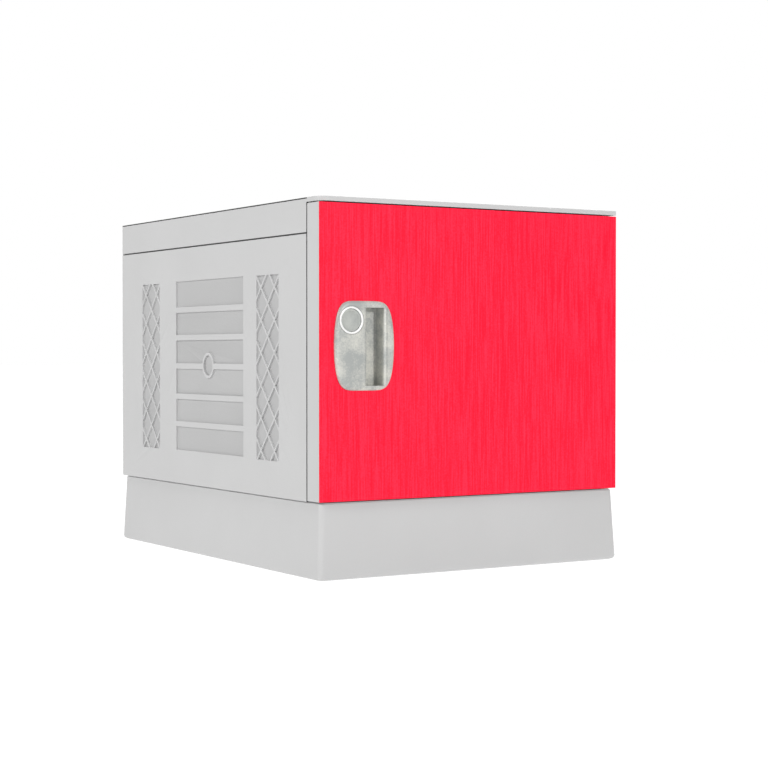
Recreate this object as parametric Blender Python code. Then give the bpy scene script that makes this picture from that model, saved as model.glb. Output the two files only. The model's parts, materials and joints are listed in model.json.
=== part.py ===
"""Phone charging locker: a moulded cell on a plinth, with a hinged door, a cam lock and a charging unit.

Metres. The origin is on the floor under the middle of the outline, +X to the right, +Y back, +Z up.
"""

import math
from collections import namedtuple

import bmesh
import bpy
from mathutils import Matrix, Vector

GAP = 0.0003  # between two pieces that touch
RUNNING_GAP = 0.0001  # between a shaft and its bore

# Overall sizes
WIDTH = 0.382
DEPTH = 0.500
PLINTH_HEIGHT = 0.0788
DOOR_HEIGHT = 0.3042
DOOR_THICKNESS = 0.0248
DOOR_BOTTOM_GAP = 0.0012
DOOR_TOP_GAP = 0.0013
DOOR_BACK_GAP = 0.0008

# Plinth
PLINTH_WALL = 0.003
PLINTH_TOP_INSET = 0.0026
PLINTH_FOOT_FLARE = 0.001
PLINTH_CORNER = 0.006
PLINTH_ROUNDING = 0.004
PLINTH_ROUNDING_STEPS = 2
PLINTH_TOP_ROUNDING = 0.0015

# Cabinet panels
SIDE_WALL = 0.007
BACK_WALL = 0.006
FLOOR_WALL = 0.006
REBATE_LIP = 0.003
TONGUE_GAP = 0.0005
TONGUE_RISE = 0.018
LEDGE = 0.004
JOINT_LINE = 0.0016

# Pattern on the side and back panels, heights above the panel's foot
RECESS = 0.0022
FIELD_FOOT = 0.0391
FIELD_HEIGHT = 0.1968
FIELD_START = 0.1687
FIELD_LENGTH = 0.1733
FIELD_RIB = 0.0064
RIB_HEIGHTS = (0.0696, 0.1018, 0.1372, 0.1703, 0.2026)
LATTICE_FOOT = 0.0380
LATTICE_HEIGHT = 0.1973
LATTICE_WIDTH = 0.0506
LATTICE_STARTS = (0.0869, 0.3880)
LATTICE_HALF_WIDTH = 0.0152
LATTICE_HALF_HEIGHT = 0.0174
LATTICE_RIB = 0.0022
LATTICE_PHASE = 0.04825
BOSS_DEPTH = 0.2566
BOSS_HEIGHT = 0.1382
BOSS_RADIUS = 0.0145
PLUG_RADIUS = 0.0112
PLUG_SINK = 0.0022
BACK_MARGIN = 0.070

# Cap
LIP_HEIGHT = 0.0048
SKIRT_HEIGHT = 0.0355
SKIRT_WALL = 0.003
CAP_PLATE = 0.0032
CAP_CORNER = 0.0124
SEAL_WIDTH = 0.0017
SEAL_THICKNESS = 0.0010
CAP_SEAL_SINK = 0.0003

# Hinge
PIN_RADIUS = 0.003
PIN_SEAT = 0.024
BUSH_RADIUS = 0.0045
BUSH_DEPTH = 0.0095
BUSH_FLANGE_RADIUS = 0.0059
BUSH_FLANGE = 0.0006
BUSH_BOSS_RADIUS = 0.0075
BUSH_BOSS_WALL = 0.003
LIP_BUSH_HEIGHT = 0.0029

# Door
FRONT_SHEET = 0.002
SHEET_LIP = 0.0005
SHEET_LIP_WIDTH = 0.0015
SHELL_WALL = 0.003
SHELL_BACK_WALL = 0.0028
SHELL_RIB = 0.002
CELL_SIZE = 0.100

# Handle plate: its place is measured from the door's left edge and foot
PLATE_ACROSS = 0.0523
PLATE_UP = 0.15875
PLATE_WIDTH = 0.0708
PLATE_HEIGHT = 0.0918
PLATE_THICKNESS = 0.0032
PLATE_SQUARENESS_ACROSS = 5.9
PLATE_SQUARENESS_UP = 2.1
PLATE_CROWN = ((0.0, 0.0), (0.0, 0.36), (0.0007, 0.66), (0.0022, 0.89), (0.0045, 1.0))
CUP_LEFT = 0.05435
CUP_FOOT = 0.1177
CUP_WIDTH = 0.0207
CUP_HEIGHT = 0.0802
CUP_DEPTH = 0.017
CUP_WALL = 0.0015
HANDLE_SCREW_INSET = 0.0123
SCREW_END_GAP = 0.0011

# Lock: its axis is measured from the door's left edge and foot
LOCK_ACROSS = 0.0360
LOCK_UP = 0.1848
DISC_RADIUS = 0.0117
DISC_THICKNESS = 0.003
DISC_SINK = 0.001
RING_GAP = 0.0005
RING_WIDTH = 0.0021
RING_SEAT = 0.0012
RING_PROUD = 0.0004
FLANGE_RADIUS = 0.0137
FLANGE_THICKNESS = 0.0025
COLLAR_WALL = 0.0013
BARREL_RADIUS = 0.010
SPINDLE_RADIUS = 0.005
NUT_RADIUS = 0.015
NUT_THICKNESS = 0.004
CAM_HUB = 0.008
CAM_END_GAP = 0.005
CAM_WIDTH = 0.010
CAM_THICKNESS = 0.0025
CAM_GAP = 0.0006

# Strike
STRIKE_WALL = 0.002
STRIKE_LIP_WALL = 0.0022
STRIKE_NUT_GAP = 0.003
STRIKE_LENGTH = 0.026
STRIKE_HEIGHT = 0.050
STRIKE_SCREW_BACK = 0.018
STRIKE_SCREW_SPREAD = 0.034

# Charging outlet on the back wall, heights above the panel's foot
OUTLET_WIDTH = 0.090
OUTLET_HEIGHT = 0.056
OUTLET_DEPTH = 0.026
OUTLET_UP = 0.180
OUTLET_WALL = 0.0025
OUTLET_SCREW_INSET = 0.011
OUTLET_BOSS_RADIUS = 0.0045
OUTLET_BOSS_DEPTH = 0.012
COVER_SCREW_HOLD = 0.005
SOCKET_SPREAD = 0.028
SOCKET_WIDTH = 0.0122
SOCKET_HEIGHT = 0.0050
SOCKET_WALL = 0.0006
SOCKET_LENGTH = 0.0135
BOARD_SIDE_GAP = 0.0035
BOARD_END_GAP = 0.0055
BOARD_THICKNESS = 0.0016

# Power supply and inlet in the hollow of the cap
SUPPLY_WIDTH = 0.110
SUPPLY_DEPTH = 0.075
SUPPLY_TOP_GAP = 0.0045
SUPPLY_WALL = 0.0015
SUPPLY_FOOT = 0.012
SUPPLY_BACK_GAP = 0.085
SLOT_COUNT = 7
SLOT_WIDTH = 0.004
INLET_WIDTH = 0.0275
INLET_HEIGHT = 0.0180
INLET_ACROSS = 0.120
INLET_WALL = 0.002
INLET_DEPTH = 0.019
INLET_FLANGE = 0.002
INLET_FLANGE_RIM = 0.003
INLET_FLANGE_END = 0.005
INLET_SCREW_SPREAD = 0.040
CONTACT_LENGTH = 0.012
CONTACT_PITCH = 0.007
CONTACT_LIFT = 0.00225
CONTACT_WIDTH = 0.0016
CONTACT_HEIGHT = 0.004
GROMMET_RADIUS = 0.010
GROMMET_LIP = 0.002
GROMMET_BACK_GAP = 0.030

# Screws
Screw = namedtuple("Screw", "head_radius head_height shank_radius length")
SMALL_SCREW = Screw(head_radius=0.0035, head_height=0.0018, shank_radius=0.0015, length=0.009)
PANEL_SCREW = Screw(head_radius=0.0050, head_height=0.0024, shank_radius=0.0022, length=0.016)
PANEL_SCREW_INSET = 0.035
SCREW_BOSS_RADIUS = 0.0065
SCREW_BOSS_DEPTH = 0.018
CAP_SCREW_INSET = 0.045
CAP_SCREW_RISE = 0.008

FINE = 40  # sides of a large round
COARSE = 12  # sides of a small round

# Places worked out from the sizes
PLATE_PROUD = GAP + PLATE_THICKNESS + RING_PROUD
INLET_PROUD = 2 * GAP + INLET_FLANGE + SMALL_SCREW.head_height
LEFT = -WIDTH / 2
RIGHT = WIDTH / 2
FRONT = PLATE_PROUD - (DEPTH + PLATE_PROUD + INLET_PROUD) / 2
BACK = FRONT + DEPTH
PANEL_FOOT = PLINTH_HEIGHT + GAP
DOOR_FOOT = PLINTH_HEIGHT + DOOR_BOTTOM_GAP
DOOR_TOP = DOOR_FOOT + DOOR_HEIGHT
DOOR_BACK = FRONT + DOOR_THICKNESS
FRAME_FRONT = DOOR_BACK + DOOR_BACK_GAP
LIP_FOOT = DOOR_TOP + DOOR_TOP_GAP
TOP = LIP_FOOT + LIP_HEIGHT
SKIRT_FOOT = TOP - SKIRT_HEIGHT
PANEL_TOP = SKIRT_FOOT - JOINT_LINE
ROOF_TOP = SKIRT_FOOT - GAP
ROOF_FOOT = ROOF_TOP - FLOOR_WALL
TONGUE_TOP = SKIRT_FOOT + TONGUE_RISE
BACK_INNER = BACK - BACK_WALL
FLOOR_TOP = PANEL_FOOT + FLOOR_WALL
# The door's front corner sweeps no further back than the door's back face
HINGE_INSET = DOOR_THICKNESS / (1 + math.sqrt(2))
HINGE_X = RIGHT - HINGE_INSET
HINGE_Y = FRONT + HINGE_INSET
SHELL_FRONT = FRONT + SHEET_LIP + GAP
SHEET_SEAT = FRONT + FRONT_SHEET + GAP
SHELL_FLOOR = DOOR_BACK - SHELL_BACK_WALL
PLATE_X = LEFT + PLATE_ACROSS
PLATE_Z = DOOR_FOOT + PLATE_UP
PLATE_BACK = FRONT - GAP
PLATE_FACE = PLATE_BACK - PLATE_THICKNESS
CUP_X = LEFT + CUP_LEFT
CUP_Z = DOOR_FOOT + CUP_FOOT
CUP_BOTTOM = PLATE_FACE + CUP_DEPTH
CUP_BACK = CUP_BOTTOM + CUP_WALL
LOCK_X = LEFT + LOCK_ACROSS
LOCK_Z = DOOR_FOOT + LOCK_UP
RING_BORE = DISC_RADIUS + RING_GAP
RING_RADIUS = RING_BORE + RING_WIDTH
DISC_FACE = PLATE_FACE + DISC_SINK
DISC_BACK = DISC_FACE + DISC_THICKNESS
FLANGE_FACE = DISC_BACK + GAP
FLANGE_BACK = FLANGE_FACE + FLANGE_THICKNESS
COLLAR_BORE = FLANGE_RADIUS + GAP
NUT_FACE = DOOR_BACK + GAP
NUT_BACK = NUT_FACE + NUT_THICKNESS
BARREL_BACK = NUT_BACK + GAP
CAM_FACE = BARREL_BACK + CAM_GAP
CAM_BACK = CAM_FACE + CAM_THICKNESS
CAM_REACH = LOCK_ACROSS - SIDE_WALL - CAM_END_GAP
OUTLET_Z = PANEL_FOOT + OUTLET_UP
OUTLET_BACK = BACK_INNER - GAP
OUTLET_FRONT = OUTLET_BACK - OUTLET_DEPTH
OUTLET_FACE = OUTLET_FRONT - GAP - OUTLET_WALL
BOSS_FACE = OUTLET_BACK - OUTLET_BOSS_DEPTH
BOARD_BACK = BOSS_FACE - GAP
BOARD_FACE = BOARD_BACK - BOARD_THICKNESS
INLET_FLANGE_WIDTH = INLET_SCREW_SPREAD + 2 * INLET_FLANGE_END
INLET_FLANGE_HEIGHT = INLET_HEIGHT + 2 * INLET_FLANGE_RIM
INLET_X = LEFT + INLET_ACROSS
INLET_Z = (SKIRT_FOOT + TOP) / 2


def finished(bm):
    """A mesh from the geometry, with its faces turned outwards."""
    bmesh.ops.recalc_face_normals(bm, faces=bm.faces)
    mesh = bpy.data.meshes.new("shape")
    bm.to_mesh(mesh)
    bm.free()
    return mesh


def box(low, high):
    size = Vector(high) - Vector(low)
    middle = (Vector(high) + Vector(low)) / 2
    bm = bmesh.new()
    bmesh.ops.create_cube(bm, size=1, matrix=Matrix.Translation(middle) @ Matrix.Diagonal((*size, 1)))
    return finished(bm)


def turned_point(across, up, along, axis):
    """A point given in the plane across an axis and along it."""
    return {"X": (along, across, up), "Y": (across, along, up), "Z": (across, up, along)}[axis]


def prism(outline, axis, low, high):
    """An outline across an axis, extruded from low to high along it."""
    bm = bmesh.new()
    face = bm.faces.new([bm.verts.new(turned_point(u, v, low, axis)) for u, v in outline])
    grown = bmesh.ops.extrude_face_region(bm, geom=[face])["geom"]
    top = [item for item in grown if isinstance(item, bmesh.types.BMVert)]
    bmesh.ops.translate(bm, verts=top, vec=turned_point(0, 0, high - low, axis))
    return finished(bm)


def turned(profile, axis, centre, sides=COARSE):
    """A profile of (radius, distance along the axis) spun about the axis through centre."""
    bm = bmesh.new()
    points = [bm.verts.new(turned_point(centre[0] + r, centre[1], w, axis)) for r, w in profile]
    closed = all(radius > 0 for radius, _ in profile)
    for first, second in zip(points, points[1:] + points[:1] if closed else points[1:]):
        bm.edges.new((first, second))
    bmesh.ops.spin(
        bm,
        geom=bm.verts[:] + bm.edges[:],
        cent=turned_point(*centre, 0, axis),
        axis=turned_point(0, 0, 1, axis),
        dvec=(0, 0, 0),
        angle=math.tau,
        steps=sides,
        use_merge=True,
        use_duplicate=False,
    )
    bmesh.ops.remove_doubles(bm, verts=bm.verts, dist=1e-6)
    return finished(bm)


def rod(radius, axis, centre, low, high, sides=COARSE):
    return turned([(0, low), (radius, low), (radius, high), (0, high)], axis, centre, sides)


def tube(inner, outer, axis, centre, low, high, sides=COARSE):
    return turned([(inner, low), (outer, low), (outer, high), (inner, high)], axis, centre, sides)


def lofted(rings, axis):
    """Rings of (outline, distance along the axis) bridged one to the next, and closed at both ends."""
    bm = bmesh.new()
    loops = []
    for outline, along in rings:
        verts = [bm.verts.new(turned_point(u, v, along, axis)) for u, v in outline]
        edges = [bm.edges.new(pair) for pair in zip(verts, verts[1:] + verts[:1])]
        loops.append((verts, edges))
    for (_, first), (_, second) in zip(loops, loops[1:]):
        bmesh.ops.bridge_loops(bm, edges=first + second)
    bm.faces.new(loops[0][0])
    bm.faces.new(loops[-1][0])
    return finished(bm)


def rounded_rectangle(low, high, radius, steps=6):
    """Corner points of a rectangle with round corners, counter-clockwise."""
    corners = ((high[0], high[1], 0), (low[0], high[1], 1), (low[0], low[1], 2), (high[0], low[1], 3))
    points = []
    for x, y, quarter in corners:
        centre_x = x - math.copysign(radius, x - (low[0] + high[0]) / 2)
        centre_y = y - math.copysign(radius, y - (low[1] + high[1]) / 2)
        for step in range(steps + 1):
            angle = math.pi / 2 * (quarter + step / steps)
            points.append((centre_x + radius * math.cos(angle), centre_y + radius * math.sin(angle)))
    return points


def superellipse(centre, half_width, half_height, sides=FINE):
    """A barrel shape, with bulging sides and a nearly flat top and foot, as one curve."""
    points = []
    for step in range(sides):
        angle = math.tau * step / sides
        across = math.copysign(abs(math.cos(angle)) ** (2 / PLATE_SQUARENESS_ACROSS), math.cos(angle))
        up = math.copysign(abs(math.sin(angle)) ** (2 / PLATE_SQUARENESS_UP), math.sin(angle))
        points.append((centre[0] + half_width * across, centre[1] + half_height * up))
    return points


def clipped(outline, axis, limit, keep_below):
    """The part of a convex outline on one side of a line across one of its axes."""
    kept = []
    for first, second in zip(outline, outline[1:] + outline[:1]):
        first_in = (first[axis] <= limit) == keep_below
        second_in = (second[axis] <= limit) == keep_below
        if first_in:
            kept.append(first)
        if first_in != second_in:
            share = (limit - first[axis]) / (second[axis] - first[axis])
            kept.append(tuple(a + (b - a) * share for a, b in zip(first, second)))
    return kept


def gathered(shapes, name):
    """Shapes put together in one mesh."""
    bm = bmesh.new()
    for mesh in shapes:
        bm.from_mesh(mesh)
        bpy.data.meshes.remove(mesh)
    mesh = bpy.data.meshes.new(name)
    bm.to_mesh(mesh)
    bm.free()
    return mesh


def material(name, colour, roughness, metallic=0.0):
    made = bpy.data.materials.new(name)
    made.use_nodes = True
    shader = made.node_tree.nodes["Principled BSDF"]
    shader.inputs["Base Color"].default_value = (*colour, 1)
    shader.inputs["Roughness"].default_value = roughness
    shader.inputs["Metallic"].default_value = metallic
    made.diffuse_color = (*colour, 1)
    return made


def solid(name, finish, *shapes, parent=None):
    """A named piece made of shapes, riding on a parent that sits on its joint's axis."""
    mesh = gathered(shapes, name)
    mesh.materials.append(finish)
    mesh.shade_smooth()
    mesh.set_sharp_from_angle(angle=math.radians(30))
    piece = bpy.data.objects.new(name, mesh)
    bpy.context.scene.collection.objects.link(piece)
    if parent:
        piece.parent = parent
        piece.matrix_parent_inverse = Matrix.Translation(-parent_place(parent))
    return piece


def parent_place(empty):
    """Where an empty stands, counting the empties that it hangs on."""
    place = Vector(empty.location)
    return place + parent_place(empty.parent) if empty.parent else place


def boolean(piece, operation, shapes):
    cutter = bpy.data.objects.new(f"{piece.name}_{operation.lower()}", gathered(shapes, "cutter"))
    bpy.context.scene.collection.objects.link(cutter)
    cutter.hide_render = True
    cutter.display_type = "WIRE"
    cutter.parent = piece
    modifier = piece.modifiers.new(operation.title(), "BOOLEAN")
    modifier.operation = operation
    modifier.solver = "EXACT"
    modifier.object = cutter
    return cutter


def cut(piece, *shapes):
    return boolean(piece, "DIFFERENCE", shapes)


def join(piece, *shapes):
    return boolean(piece, "UNION", shapes)


def joint_empty(name, place, parent=None):
    empty = bpy.data.objects.new(name, None)
    bpy.context.scene.collection.objects.link(empty)
    empty.parent = parent
    empty.location = Vector(place) - (parent_place(parent) if parent else Vector())
    return empty


def screw_mesh(size, finish):
    """A socket screw along +Z, with its head's underside at the origin."""
    socket_radius = size.head_radius / 2
    socket_floor = size.head_height / 2
    profile = [
        (0, socket_floor),
        (socket_radius, socket_floor),
        (socket_radius, size.head_height),
        (size.head_radius, size.head_height),
        (size.head_radius, 0),
        (size.shank_radius, 0),
        (size.shank_radius, -size.length),
        (0, -size.length),
    ]
    mesh = turned(profile, "Z", (0, 0))
    mesh.materials.append(finish)
    mesh.shade_smooth()
    mesh.set_sharp_from_angle(angle=math.radians(30))
    return mesh


def place_screw(name, mesh, place, head_towards, parent=None):
    """A screw whose head faces along a direction; identical screws share one mesh."""
    screw = bpy.data.objects.new(name, mesh)
    bpy.context.scene.collection.objects.link(screw)
    screw.parent = parent
    screw.location = Vector(place) - (parent_place(parent) if parent else Vector())
    screw.rotation_mode = "QUATERNION"
    screw.rotation_quaternion = Vector((0, 0, 1)).rotation_difference(Vector(head_towards))


def screw_hole(size, axis, centre, low, high):
    return rod(size.shank_radius + GAP, axis, centre, low, high)


def inward(side, near, far):
    """Lowest and highest X of a stretch measured inwards from the left (-1) or right (+1) face."""
    return sorted((side * (WIDTH / 2 - near), side * (WIDTH / 2 - far)))


def side_box(side, near, far, low, high):
    """A box from near to far inside a side face, and from low to high in (Y, Z)."""
    x_low, x_high = inward(side, near, far)
    return box((x_low, *low), (x_high, *high))


def plinth_outline(inset, radius=PLINTH_CORNER):
    low = (LEFT + inset, FRONT + inset)
    high = (RIGHT - inset, BACK - max(inset, 0))
    return rounded_rectangle(low, high, radius)


def panel_screw_places():
    x = WIDTH / 2 - PANEL_SCREW_INSET
    y_front = FRAME_FRONT + PANEL_SCREW_INSET
    y_back = BACK_INNER - PANEL_SCREW_INSET
    return {
        "front_left": (-x, y_front),
        "front_right": (x, y_front),
        "back_left": (-x, y_back),
        "back_right": (x, y_back),
    }


def make_plinth(grey):
    """The flared base: a deck on four walls, open below, with bosses for screws and the hinge bush."""
    foot = -PLINTH_FOOT_FLARE
    rings = []
    for step in range(PLINTH_ROUNDING_STEPS + 1):
        turn = math.pi / 2 * step / PLINTH_ROUNDING_STEPS
        inset = PLINTH_ROUNDING * (1 - math.sin(turn))
        rings.append((plinth_outline(foot + inset), PLINTH_ROUNDING * (1 - math.cos(turn))))
    rings.append((plinth_outline(PLINTH_TOP_INSET), PLINTH_HEIGHT - PLINTH_TOP_ROUNDING))
    rings.append((plinth_outline(PLINTH_TOP_INSET + PLINTH_TOP_ROUNDING), PLINTH_HEIGHT))
    plinth = solid("plinth", grey, lofted(rings, "Z"))
    inner_corner = PLINTH_CORNER - PLINTH_WALL
    hollow = (
        (plinth_outline(foot + PLINTH_ROUNDING + PLINTH_WALL, inner_corner), -PLINTH_WALL),
        (plinth_outline(PLINTH_TOP_INSET + PLINTH_WALL, inner_corner), PLINTH_HEIGHT - PLINTH_WALL),
    )
    hollowed = cut(plinth, lofted(hollow, "Z"))
    spots = panel_screw_places().values()
    hinge = (HINGE_X, HINGE_Y)
    boss_foot = PLINTH_HEIGHT - SCREW_BOSS_DEPTH
    pin_boss_foot = PLINTH_HEIGHT - BUSH_DEPTH - BUSH_BOSS_WALL
    above = PLINTH_HEIGHT + PLINTH_WALL
    below = boss_foot - PLINTH_WALL
    cut(
        hollowed,
        *(rod(SCREW_BOSS_RADIUS, "Z", spot, boss_foot, above) for spot in spots),
        rod(BUSH_BOSS_RADIUS, "Z", hinge, pin_boss_foot, above, 2 * COARSE),
    )
    cut(
        plinth,
        *(screw_hole(PANEL_SCREW, "Z", spot, below, above) for spot in spots),
        rod(BUSH_RADIUS + GAP, "Z", hinge, PLINTH_HEIGHT - BUSH_DEPTH, above, 2 * COARSE),
    )


def make_floor(grey):
    """The cell's floor: its edges run under the side panels, and its screws go down into the plinth."""
    edge = WIDTH / 2 - REBATE_LIP - GAP
    floor = solid(
        "floor_panel",
        grey,
        box((-edge, FRAME_FRONT, PANEL_FOOT), (edge, BACK_INNER - GAP, FLOOR_TOP)),
    )
    head_room = PANEL_SCREW.head_radius + GAP
    sink = FLOOR_TOP - PANEL_SCREW.head_height - GAP
    spots = panel_screw_places().values()
    cut(floor, *(rod(head_room, "Z", spot, sink, FLOOR_TOP + FLOOR_WALL) for spot in spots))
    below = PANEL_FOOT - FLOOR_WALL
    cut(floor, *(screw_hole(PANEL_SCREW, "Z", spot, below, FLOOR_TOP) for spot in spots))


def field_bays(start, length):
    """(low, high) corners of the bays between the ribs of a field, in (Y or X, Z)."""
    foot = PANEL_FOOT + FIELD_FOOT
    edges = [foot]
    for height in RIB_HEIGHTS:
        rib = PANEL_FOOT + height
        edges += [rib - FIELD_RIB / 2, rib + FIELD_RIB / 2]
    edges.append(foot + FIELD_HEIGHT)
    return [((start, low), (start + length, high)) for low, high in zip(edges[::2], edges[1::2])]


def lattice_cells(start):
    """Outlines of the sunk diamonds of one lattice strip, in (Y, Z)."""
    middle = start + LATTICE_WIDTH / 2
    foot = PANEL_FOOT + LATTICE_FOOT
    top = foot + LATTICE_HEIGHT
    slope = math.hypot(LATTICE_HALF_WIDTH, LATTICE_HALF_HEIGHT)
    shrink = LATTICE_RIB / 2 * slope / (LATTICE_HALF_WIDTH * LATTICE_HALF_HEIGHT)
    half_width = LATTICE_HALF_WIDTH * (1 - shrink)
    half_height = LATTICE_HALF_HEIGHT * (1 - shrink)
    columns = math.ceil(LATTICE_WIDTH / 2 / LATTICE_HALF_WIDTH)
    rows = math.ceil(LATTICE_HEIGHT / LATTICE_HALF_HEIGHT) + 1
    cells = []
    for column in range(-columns, columns + 1):
        for row in range(-1, rows + 1):
            if (column + row) % 2:
                continue
            y = middle + column * LATTICE_HALF_WIDTH
            z = PANEL_FOOT + LATTICE_PHASE + row * LATTICE_HALF_HEIGHT
            left, right = y - half_width, y + half_width
            outline = [(left, z), (y, z - half_height), (right, z), (y, z + half_height)]
            for axis, limit, keep_below in (
                (0, start, False),
                (0, start + LATTICE_WIDTH, True),
                (1, foot, False),
                (1, top, True),
            ):
                outline = clipped(outline, axis, limit, keep_below) if outline else outline
            if len(outline) > 2 and outline_area(outline) > LATTICE_RIB**2:
                cells.append(outline)
    return cells


def outline_area(outline):
    pairs = zip(outline, outline[1:] + outline[:1])
    return abs(sum(a[0] * b[1] - b[0] * a[1] for a, b in pairs)) / 2


def make_side_panel(name, side, grey):
    """A side wall: a ribbed field, two lattice strips, a tongue for the cap and a ledge for the roof."""
    panel = solid(
        name,
        grey,
        side_box(side, 0, SIDE_WALL, (FRAME_FRONT, PANEL_FOOT), (BACK, PANEL_TOP)),
    )
    cut_pattern(panel, side)
    cut_side_rebates(panel, side)
    tongue = side_box(
        side,
        SKIRT_WALL + TONGUE_GAP,
        SIDE_WALL,
        (FRAME_FRONT + 2 * SKIRT_WALL, PANEL_TOP - LEDGE),
        (BACK_INNER - GAP, TONGUE_TOP),
    )
    join(panel, tongue)
    ledge_top = ROOF_FOOT - GAP
    ledge = side_box(
        side,
        SIDE_WALL / 2,
        SIDE_WALL + LEDGE,
        (FRAME_FRONT + SIDE_WALL, ledge_top - LEDGE),
        (BACK_INNER - SIDE_WALL, ledge_top),
    )
    join(panel, ledge)
    cut(panel, side_seal_groove(side))
    return panel


def cut_pattern(panel, side):
    """Sinks the bays of the field and the cells of the lattices, and bores the joining hole."""
    low, high = inward(side, -RECESS, RECESS)
    shapes = []
    for bay_low, bay_high in field_bays(FRONT + FIELD_START, FIELD_LENGTH):
        shapes.append(side_box(side, -RECESS, RECESS, bay_low, bay_high))
    for start in LATTICE_STARTS:
        shapes += [prism(cell, "X", low, high) for cell in lattice_cells(FRONT + start)]
    pattern = cut(panel, *shapes)
    centre = (FRONT + BOSS_DEPTH, PANEL_FOOT + BOSS_HEIGHT)
    hole_low, hole_high = inward(side, -SIDE_WALL, 2 * SIDE_WALL)
    cut(pattern, rod(BOSS_RADIUS, "X", centre, hole_low, hole_high, FINE))
    cut(panel, rod(PLUG_RADIUS + GAP, "X", centre, hole_low, hole_high, FINE))


def side_seal_groove(side):
    """Room for the door's seal along the front edge of a side, from the panel's foot to the lip."""
    return side_box(
        side,
        -SEAL_WIDTH,
        SEAL_WIDTH + GAP,
        (FRAME_FRONT - SEAL_THICKNESS, PANEL_FOOT - SEAL_WIDTH),
        (FRAME_FRONT + SEAL_THICKNESS + GAP, LIP_FOOT),
    )


def cut_side_rebates(panel, side):
    """The steps that take the floor's edge and the back panel's edge."""
    floor_step = side_box(
        side,
        REBATE_LIP,
        2 * SIDE_WALL,
        (FRAME_FRONT - SIDE_WALL, PANEL_FOOT - SIDE_WALL),
        (BACK + SIDE_WALL, FLOOR_TOP + GAP),
    )
    cut(panel, floor_step)
    back_step = side_box(
        side,
        REBATE_LIP,
        2 * SIDE_WALL,
        (BACK_INNER - GAP, PANEL_FOOT - SIDE_WALL),
        (BACK + SIDE_WALL, PANEL_TOP + SIDE_WALL),
    )
    cut(panel, back_step)


def make_joint_plug(name, side, grey):
    """The plug in the hole where a neighbouring cell is bolted on."""
    centre = (FRONT + BOSS_DEPTH, PANEL_FOOT + BOSS_HEIGHT)
    low, high = inward(side, PLUG_SINK, SIDE_WALL)
    solid(name, grey, rod(PLUG_RADIUS, "X", centre, low, high, FINE))


def inlet_corners(margin, height):
    """Low and high (X, Z) of a rectangle about the inlet."""
    half_width = INLET_WIDTH / 2 + margin
    half_height = height / 2 + margin
    return (INLET_X - half_width, INLET_Z - half_height), (INLET_X + half_width, INLET_Z + half_height)


def cap_screw_places():
    x = WIDTH / 2 - CAP_SCREW_INSET
    return {"left": (-x, SKIRT_FOOT + CAP_SCREW_RISE), "right": (x, SKIRT_FOOT + CAP_SCREW_RISE)}


def outlet_screw_places():
    x = OUTLET_WIDTH / 2 - OUTLET_SCREW_INSET
    return {"left": (-x, OUTLET_Z), "right": (x, OUTLET_Z)}


def make_back_panel(grey):
    """The back wall, with the same ribbed field, and a tongue for the cap with room for the inlet."""
    edge = WIDTH / 2 - REBATE_LIP - GAP
    panel = solid("back_panel", grey, box((-edge, BACK_INNER, PANEL_FOOT), (edge, BACK, PANEL_TOP)))
    tongue_edge = WIDTH / 2 - SKIRT_WALL - TONGUE_GAP
    tongue_back = BACK - SKIRT_WALL - GAP
    join(
        panel,
        box((-tongue_edge, BACK_INNER, PANEL_TOP - LEDGE), (tongue_edge, tongue_back, TONGUE_TOP)),
    )
    bays = field_bays(LEFT + BACK_MARGIN, WIDTH - 2 * BACK_MARGIN)
    for (x_low, foot), (x_high, top) in bays:
        cut(panel, box((x_low, BACK - RECESS, foot), (x_high, BACK + RECESS, top)))
    notch_foot = INLET_Z - INLET_FLANGE_HEIGHT / 2
    notch_half = INLET_FLANGE_WIDTH / 2
    notch_low = (INLET_X - notch_half, BACK_INNER - BACK_WALL, notch_foot)
    cut(panel, box(notch_low, (INLET_X + notch_half, BACK + BACK_WALL, TONGUE_TOP + LEDGE)))
    cut(
        panel,
        *(
            screw_hole(SMALL_SCREW, "Y", spot, BACK_INNER - BACK_WALL, BACK + BACK_WALL)
            for spot in (*outlet_screw_places().values(), *cap_screw_places().values())
        ),
    )


def make_roof(grey):
    """The cell's roof under the cap, resting on the side panels' ledges, with a hole for the wiring."""
    edge = WIDTH / 2 - SIDE_WALL - GAP
    roof = solid(
        "roof_panel",
        grey,
        box((-edge, FRAME_FRONT, ROOF_FOOT), (edge, BACK_INNER - GAP, ROOF_TOP)),
    )
    hole = (0, BACK_INNER - GROMMET_BACK_GAP)
    above = ROOF_TOP + FLOOR_WALL
    below = ROOF_FOOT - FLOOR_WALL
    cut(roof, rod(GROMMET_RADIUS + GAP, "Z", hole, below, above, 2 * COARSE))
    spots = supply_screw_places().values()
    cut(roof, *(screw_hole(SMALL_SCREW, "Z", spot, below, above) for spot in spots))


def make_grommet(rubber):
    centre = (0, BACK_INNER - GROMMET_BACK_GAP)
    lip_radius = GROMMET_RADIUS + GROMMET_LIP
    bore = GROMMET_RADIUS - GROMMET_LIP
    profile = (
        (bore, ROOF_FOOT - GROMMET_LIP),
        (GROMMET_RADIUS, ROOF_FOOT - GROMMET_LIP),
        (GROMMET_RADIUS, ROOF_TOP + GAP),
        (lip_radius, ROOF_TOP + GAP),
        (lip_radius, ROOF_TOP + GROMMET_LIP),
        (bore, ROOF_TOP + GROMMET_LIP),
    )
    solid("wiring_grommet", rubber, turned(profile, "Z", centre, 2 * COARSE))


def cap_outline(back):
    """The cap from above: round at its front left corner, square at the others."""
    rounded = rounded_rectangle((LEFT, FRONT), (RIGHT, back), CAP_CORNER)
    quarter = len(rounded) // 4
    return [(RIGHT, back), (LEFT, back), *rounded[2 * quarter : 3 * quarter], (RIGHT, FRONT)]


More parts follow.
